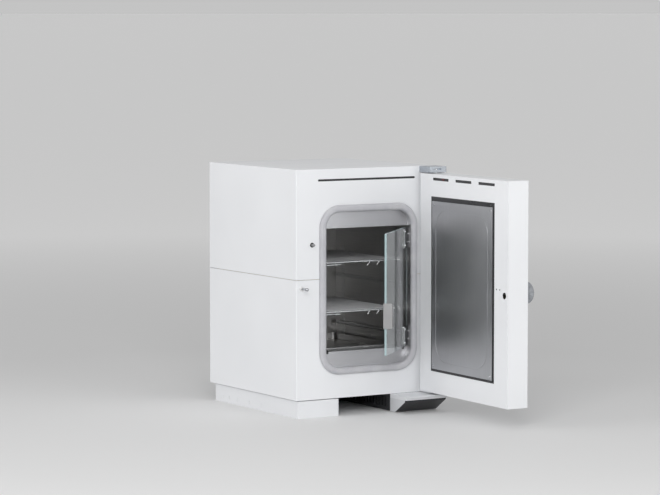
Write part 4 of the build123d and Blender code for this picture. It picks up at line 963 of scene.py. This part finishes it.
@dataclass
class OuterDoor:
    """The thick door: painted skins, steel plate, displays, knob and latch."""

    axes: DoorFrame = field(default_factory=DoorFrame)
    plate_middle: tuple[float, float] = (0.005, 0.3945)
    plate_half: tuple[float, float] = (0.173, 0.2575)
    screw_inset: float = 0.0105
    screw_face: float = 0.00361
    recess: tuple[float, float, float] = (0.0034, 0.00012, 0.0007)
    recess_turn: float = 20.0
    numeral_height: float = 0.014
    numeral_out: float = 0.0002
    slot_numeral_height: float = 0.0058
    slot_numeral_out: float = 0.0007
    slot_numeral_shift: float = 0.012
    slot_strength: float = 0.35

    def dress(self, wardrobe: Wardrobe) -> None:
        """Puts the door's finishes on."""
        wardrobe.dress(WHITE_PAINT, "door_shell", "door_inner_panel")
        plate = BrushedSteel(
            "plate_steel", (0.54, 0.545, 0.56), (0.46, 0.465, 0.48), Grain.UPRIGHT,
            turn=90.0 - self.axes.angle, gloss=(0.32, 0.42), lines=1400.0,
        )
        wardrobe.dress(plate, "door_plate")
        black = Moulded("surround_moulding", (0.016, 0.016, 0.018), (0.25, 0.36))
        wardrobe.dress(black, "plate_surround", "display_housings", "knob_collar")
        wardrobe.dress(Moulded("slot_window", (0.012, 0.012, 0.014), (0.12, 0.2)), "slot_windows")
        wardrobe.dress(Lens("display_lens"), "display_lenses")
        wardrobe.dress(Moulded("key_moulding", (0.36, 0.37, 0.39)), "key_pads")
        wardrobe.dress(Moulded("bush_nylon", (0.10, 0.10, 0.11)), "hinge_bushes")
        foam = Fibrous("rigid_foam", (0.78, 0.74, 0.60), (0.70, 0.66, 0.50), 900.0, 0.0003)
        wardrobe.dress(foam, "door_core")
        wardrobe.dress(Moulded("knob_moulding", (0.33, 0.345, 0.37), (0.28, 0.4)), "door_knob")
        wardrobe.dress(Polished("latch_steel"), "latch_spindle", "latch_cam")

    def light_displays(self, wardrobe: Wardrobe) -> None:
        """Adds the numerals behind the outer windows and the inner slot."""
        glow = wardrobe.material(Glow("display_glow"))
        dim = wardrobe.material(Glow("slot_glow", strength=self.slot_strength))
        door = self.axes
        face = door.outer_y + self.numeral_out
        for name, text, column in (
            ("gas_numerals", "5.0", -1),
            ("humidity_numerals", "90", 0),
            ("heat_numerals", "37.0", 1),
        ):
            spot = Matrix.Translation((column * door.pitch, face, door.display_z))
            row = NumberDisplay(text, self.numeral_height)
            row.build(name, door.matrix() @ spot, glow)
        behind = Matrix.Rotation(math.pi, 4, "Z")
        x = door.pitch - self.slot_numeral_shift
        spot = Matrix.Translation((x, door.inner_y - self.slot_numeral_out, door.slot_z))
        row = NumberDisplay("37.0", self.slot_numeral_height)
        row.build("slot_numerals", door.matrix() @ spot @ behind, dim)

    def paint_screw_recess_shade(self, wardrobe: Wardrobe) -> None:
        """Adds a thin dark cross on each screw of the steel plate, as painted shade standing in for
        the cross recess.
        """
        # The near-black colour is painted shade of a recess that is not cut into the screw.
        dark = wardrobe.material(Moulded("screw_recess", (0.03, 0.03, 0.032)))
        shape = bmesh.new()
        door = self.axes
        for side_x in (-1, 1):
            for side_z in (-1, 1):
                x = self.plate_middle[0] + side_x * (self.plate_half[0] - self.screw_inset)
                z = self.plate_middle[1] + side_z * (self.plate_half[1] - self.screw_inset)
                head = Matrix.Translation((x, door.inner_y + self.screw_face, z))
                angle = math.radians(self.recess_turn * side_x * side_z)
                turned = door.matrix() @ head @ Matrix.Rotation(angle, 4, "Y")
                for size in (self.recess, self.recess[::-1]):
                    Maker.box(shape, (0.0, 0.0, 0.0), size, turned)
        recesses = Maker.mesh("screw_recesses", "outer_door", "black_plastic", shape)
        recesses.data.materials.append(dark)


@dataclass
class GlassDoor:
    """The pane, its clamps and its grip."""

    def dress(self, wardrobe: Wardrobe) -> None:
        """Puts the glass door's finishes on."""
        wardrobe.dress(SheetGlass("float_glass"), "glass_pane")
        clamps = Polished("dark_polish", (0.42, 0.43, 0.44), (0.10, 0.18))
        wardrobe.dress(clamps, "glass_hinge_clamps")
        wardrobe.dress(Polished("cap_screw"), "glass_clamp_screws")
        grip = Moulded("grip_moulding", (0.33, 0.33, 0.335), (0.34, 0.46))
        wardrobe.dress(grip, "glass_handle")


@dataclass
class Studio:
    """The pale floor, the soft lamps and the camera."""

    lens: float = 158.70
    camera_at: tuple[float, float, float] = (-4.7079, -7.7734, 1.2289)
    tilt: float = 85.365
    swing: float = -31.371
    floor_colour: Rgb = (0.80, 0.80, 0.80)
    surround: Rgb = (0.55, 0.55, 0.55)
    floor_half: float = 1500.0
    plain_from: float = 1.6
    plain_to: float = 7.0
    lift: float = 0.22
    light_colour: Rgb = (1.0, 1.0, 1.0)
    sky_light: float = 0.42
    speck: float = 400.0
    speck_shade: float = 0.985
    sensor: float = 36.0
    farthest: float = 4000.0

    def build(self) -> None:
        """Makes the floor, the sky, the lamps and the camera."""
        self._floor()
        self._sky()
        self._lamp("key_lamp", place=(-3.2, -4.6, 2.6), aim=(0.0, -0.2, 0.35), size=3.0, power=142.0)
        self._lamp("front_lamp", place=(1.8, -5.4, 1.5), aim=(0.0, -0.2, 0.4), size=2.6, power=44.0)
        self._lamp("top_lamp", place=(-0.6, -0.6, 3.4), aim=(0.0, 0.0, 0.0), size=2.4, power=13.0)
        self._lamp("side_lamp", place=(-5.2, 0.8, 1.4), aim=(-0.2, 0.0, 0.4), size=2.6, power=55.0)
        self._camera()
        view = bpy.context.scene.view_settings
        view.view_transform = "Standard"

    def _floor(self) -> None:
        """Makes the floor as one wide plane."""
        shape = bmesh.new()
        bmesh.ops.create_grid(shape, x_segments=1, y_segments=1, size=self.floor_half)
        data = bpy.data.meshes.new("studio_floor")
        shape.to_mesh(data)
        shape.free()
        floor = bpy.data.objects.new("studio_floor", data)
        bpy.context.scene.collection.objects.link(floor)
        shader = Shader("floor_paper")
        specks = shader.noise(self.speck, detail=2.0)
        darker = dimmed(self.floor_colour, self.speck_shade)
        tone = shader.blend(shader.spread(specks), darker, self.floor_colour)
        paper = shader.surface(
            Base_Color=tone, Roughness=0.75, Specular_IOR_Level=0.2,
            Emission_Color=self._far_glow(shader), Emission_Strength=1.0,
        )
        floor.data.materials.append(shader.done(paper))

    def _far_glow(self, shader: Shader) -> bpy.types.NodeSocket:
        """The lift that lets the far floor meet the surround without a line.

        Args:
            shader: The floor's shader.

        Returns:
            The lift's colour, seen by the eye, in glass and in gloss only.
        """
        point = shader.add("ShaderNodeNewGeometry").outputs["Position"]
        length = shader.add("ShaderNodeVectorMath", {"operation": "LENGTH"}, {0: point})
        away = shader.spread(length.outputs["Value"], (self.plain_from, self.plain_to))
        share = away * shader.seen()
        return shader.blend(share, (0.0, 0.0, 0.0), (self.lift, self.lift, self.lift))

    def _sky(self) -> None:
        """Makes a pale backdrop that lights the object softly."""
        shader = Shader("studio_sky", world=True)
        glow = {"Color": self.light_colour, "Strength": self.sky_light}
        lit = shader.add("ShaderNodeBackground", None, glow).outputs[0]
        plain = shader.add("ShaderNodeBackground", None, {"Color": self.surround}).outputs[0]
        mix = shader.add("ShaderNodeMixShader", None, {0: shader.seen(), 1: lit, 2: plain})
        shader.add("ShaderNodeOutputWorld", None, {"Surface": mix.outputs[0]})
        bpy.context.scene.world = shader.holder

    @staticmethod
    def _lamp(
        name: str,
        place: tuple[float, float, float],
        aim: tuple[float, float, float],
        size: float,
        power: float,
    ) -> None:
        """Adds a square soft lamp.

        Args:
            name: The lamp's name.
            place: Where it hangs.
            aim: The point it looks at.
            size: Its side in metres.
            power: Its power in watts.
        """
        lamp = bpy.data.lights.new(name, "AREA")
        lamp.shape = "SQUARE"
        lamp.size = size
        lamp.energy = power
        holder = bpy.data.objects.new(name, lamp)
        holder.location = place
        away = Vector(aim) - Vector(place)
        holder.rotation_euler = away.to_track_quat("-Z", "Y").to_euler()
        bpy.context.scene.collection.objects.link(holder)

    def _camera(self) -> None:
        """Sets the camera at the photograph's place."""
        data = bpy.data.cameras.new("studio_camera")
        data.sensor_width = self.sensor
        data.sensor_fit = "HORIZONTAL"
        data.lens = self.lens
        data.clip_end = self.farthest
        camera = bpy.data.objects.new("studio_camera", data)
        camera.location = self.camera_at
        camera.rotation_euler = (math.radians(self.tilt), 0.0, math.radians(self.swing))
        bpy.context.scene.collection.objects.link(camera)
        bpy.context.scene.camera = camera


def write_sizes() -> None:
    """Defines a helper that rounds a box's two corners to plain numbers; nothing is written."""

    def plain(box: Iterable[Iterable[float]]) -> list[list[float]]:
        """The two corners as plain numbers."""
        return [[round(float(v), 5) for v in corner] for corner in box]


def main() -> None:
    """Dresses the incubator and sets up the studio."""
    logging.basicConfig(level=logging.INFO, format="%(name)s: %(message)s")
    wardrobe = Wardrobe()
    Cabinet().dress(wardrobe)
    Chamber().dress(wardrobe)
    ServiceUnit().dress(wardrobe)
    door = OuterDoor()
    door.dress(wardrobe)
    door.light_displays(wardrobe)
    door.paint_screw_recess_shade(wardrobe)
    GlassDoor().dress(wardrobe)
    Studio().build()
    write_sizes()


if __name__ == "__main__":
    main()
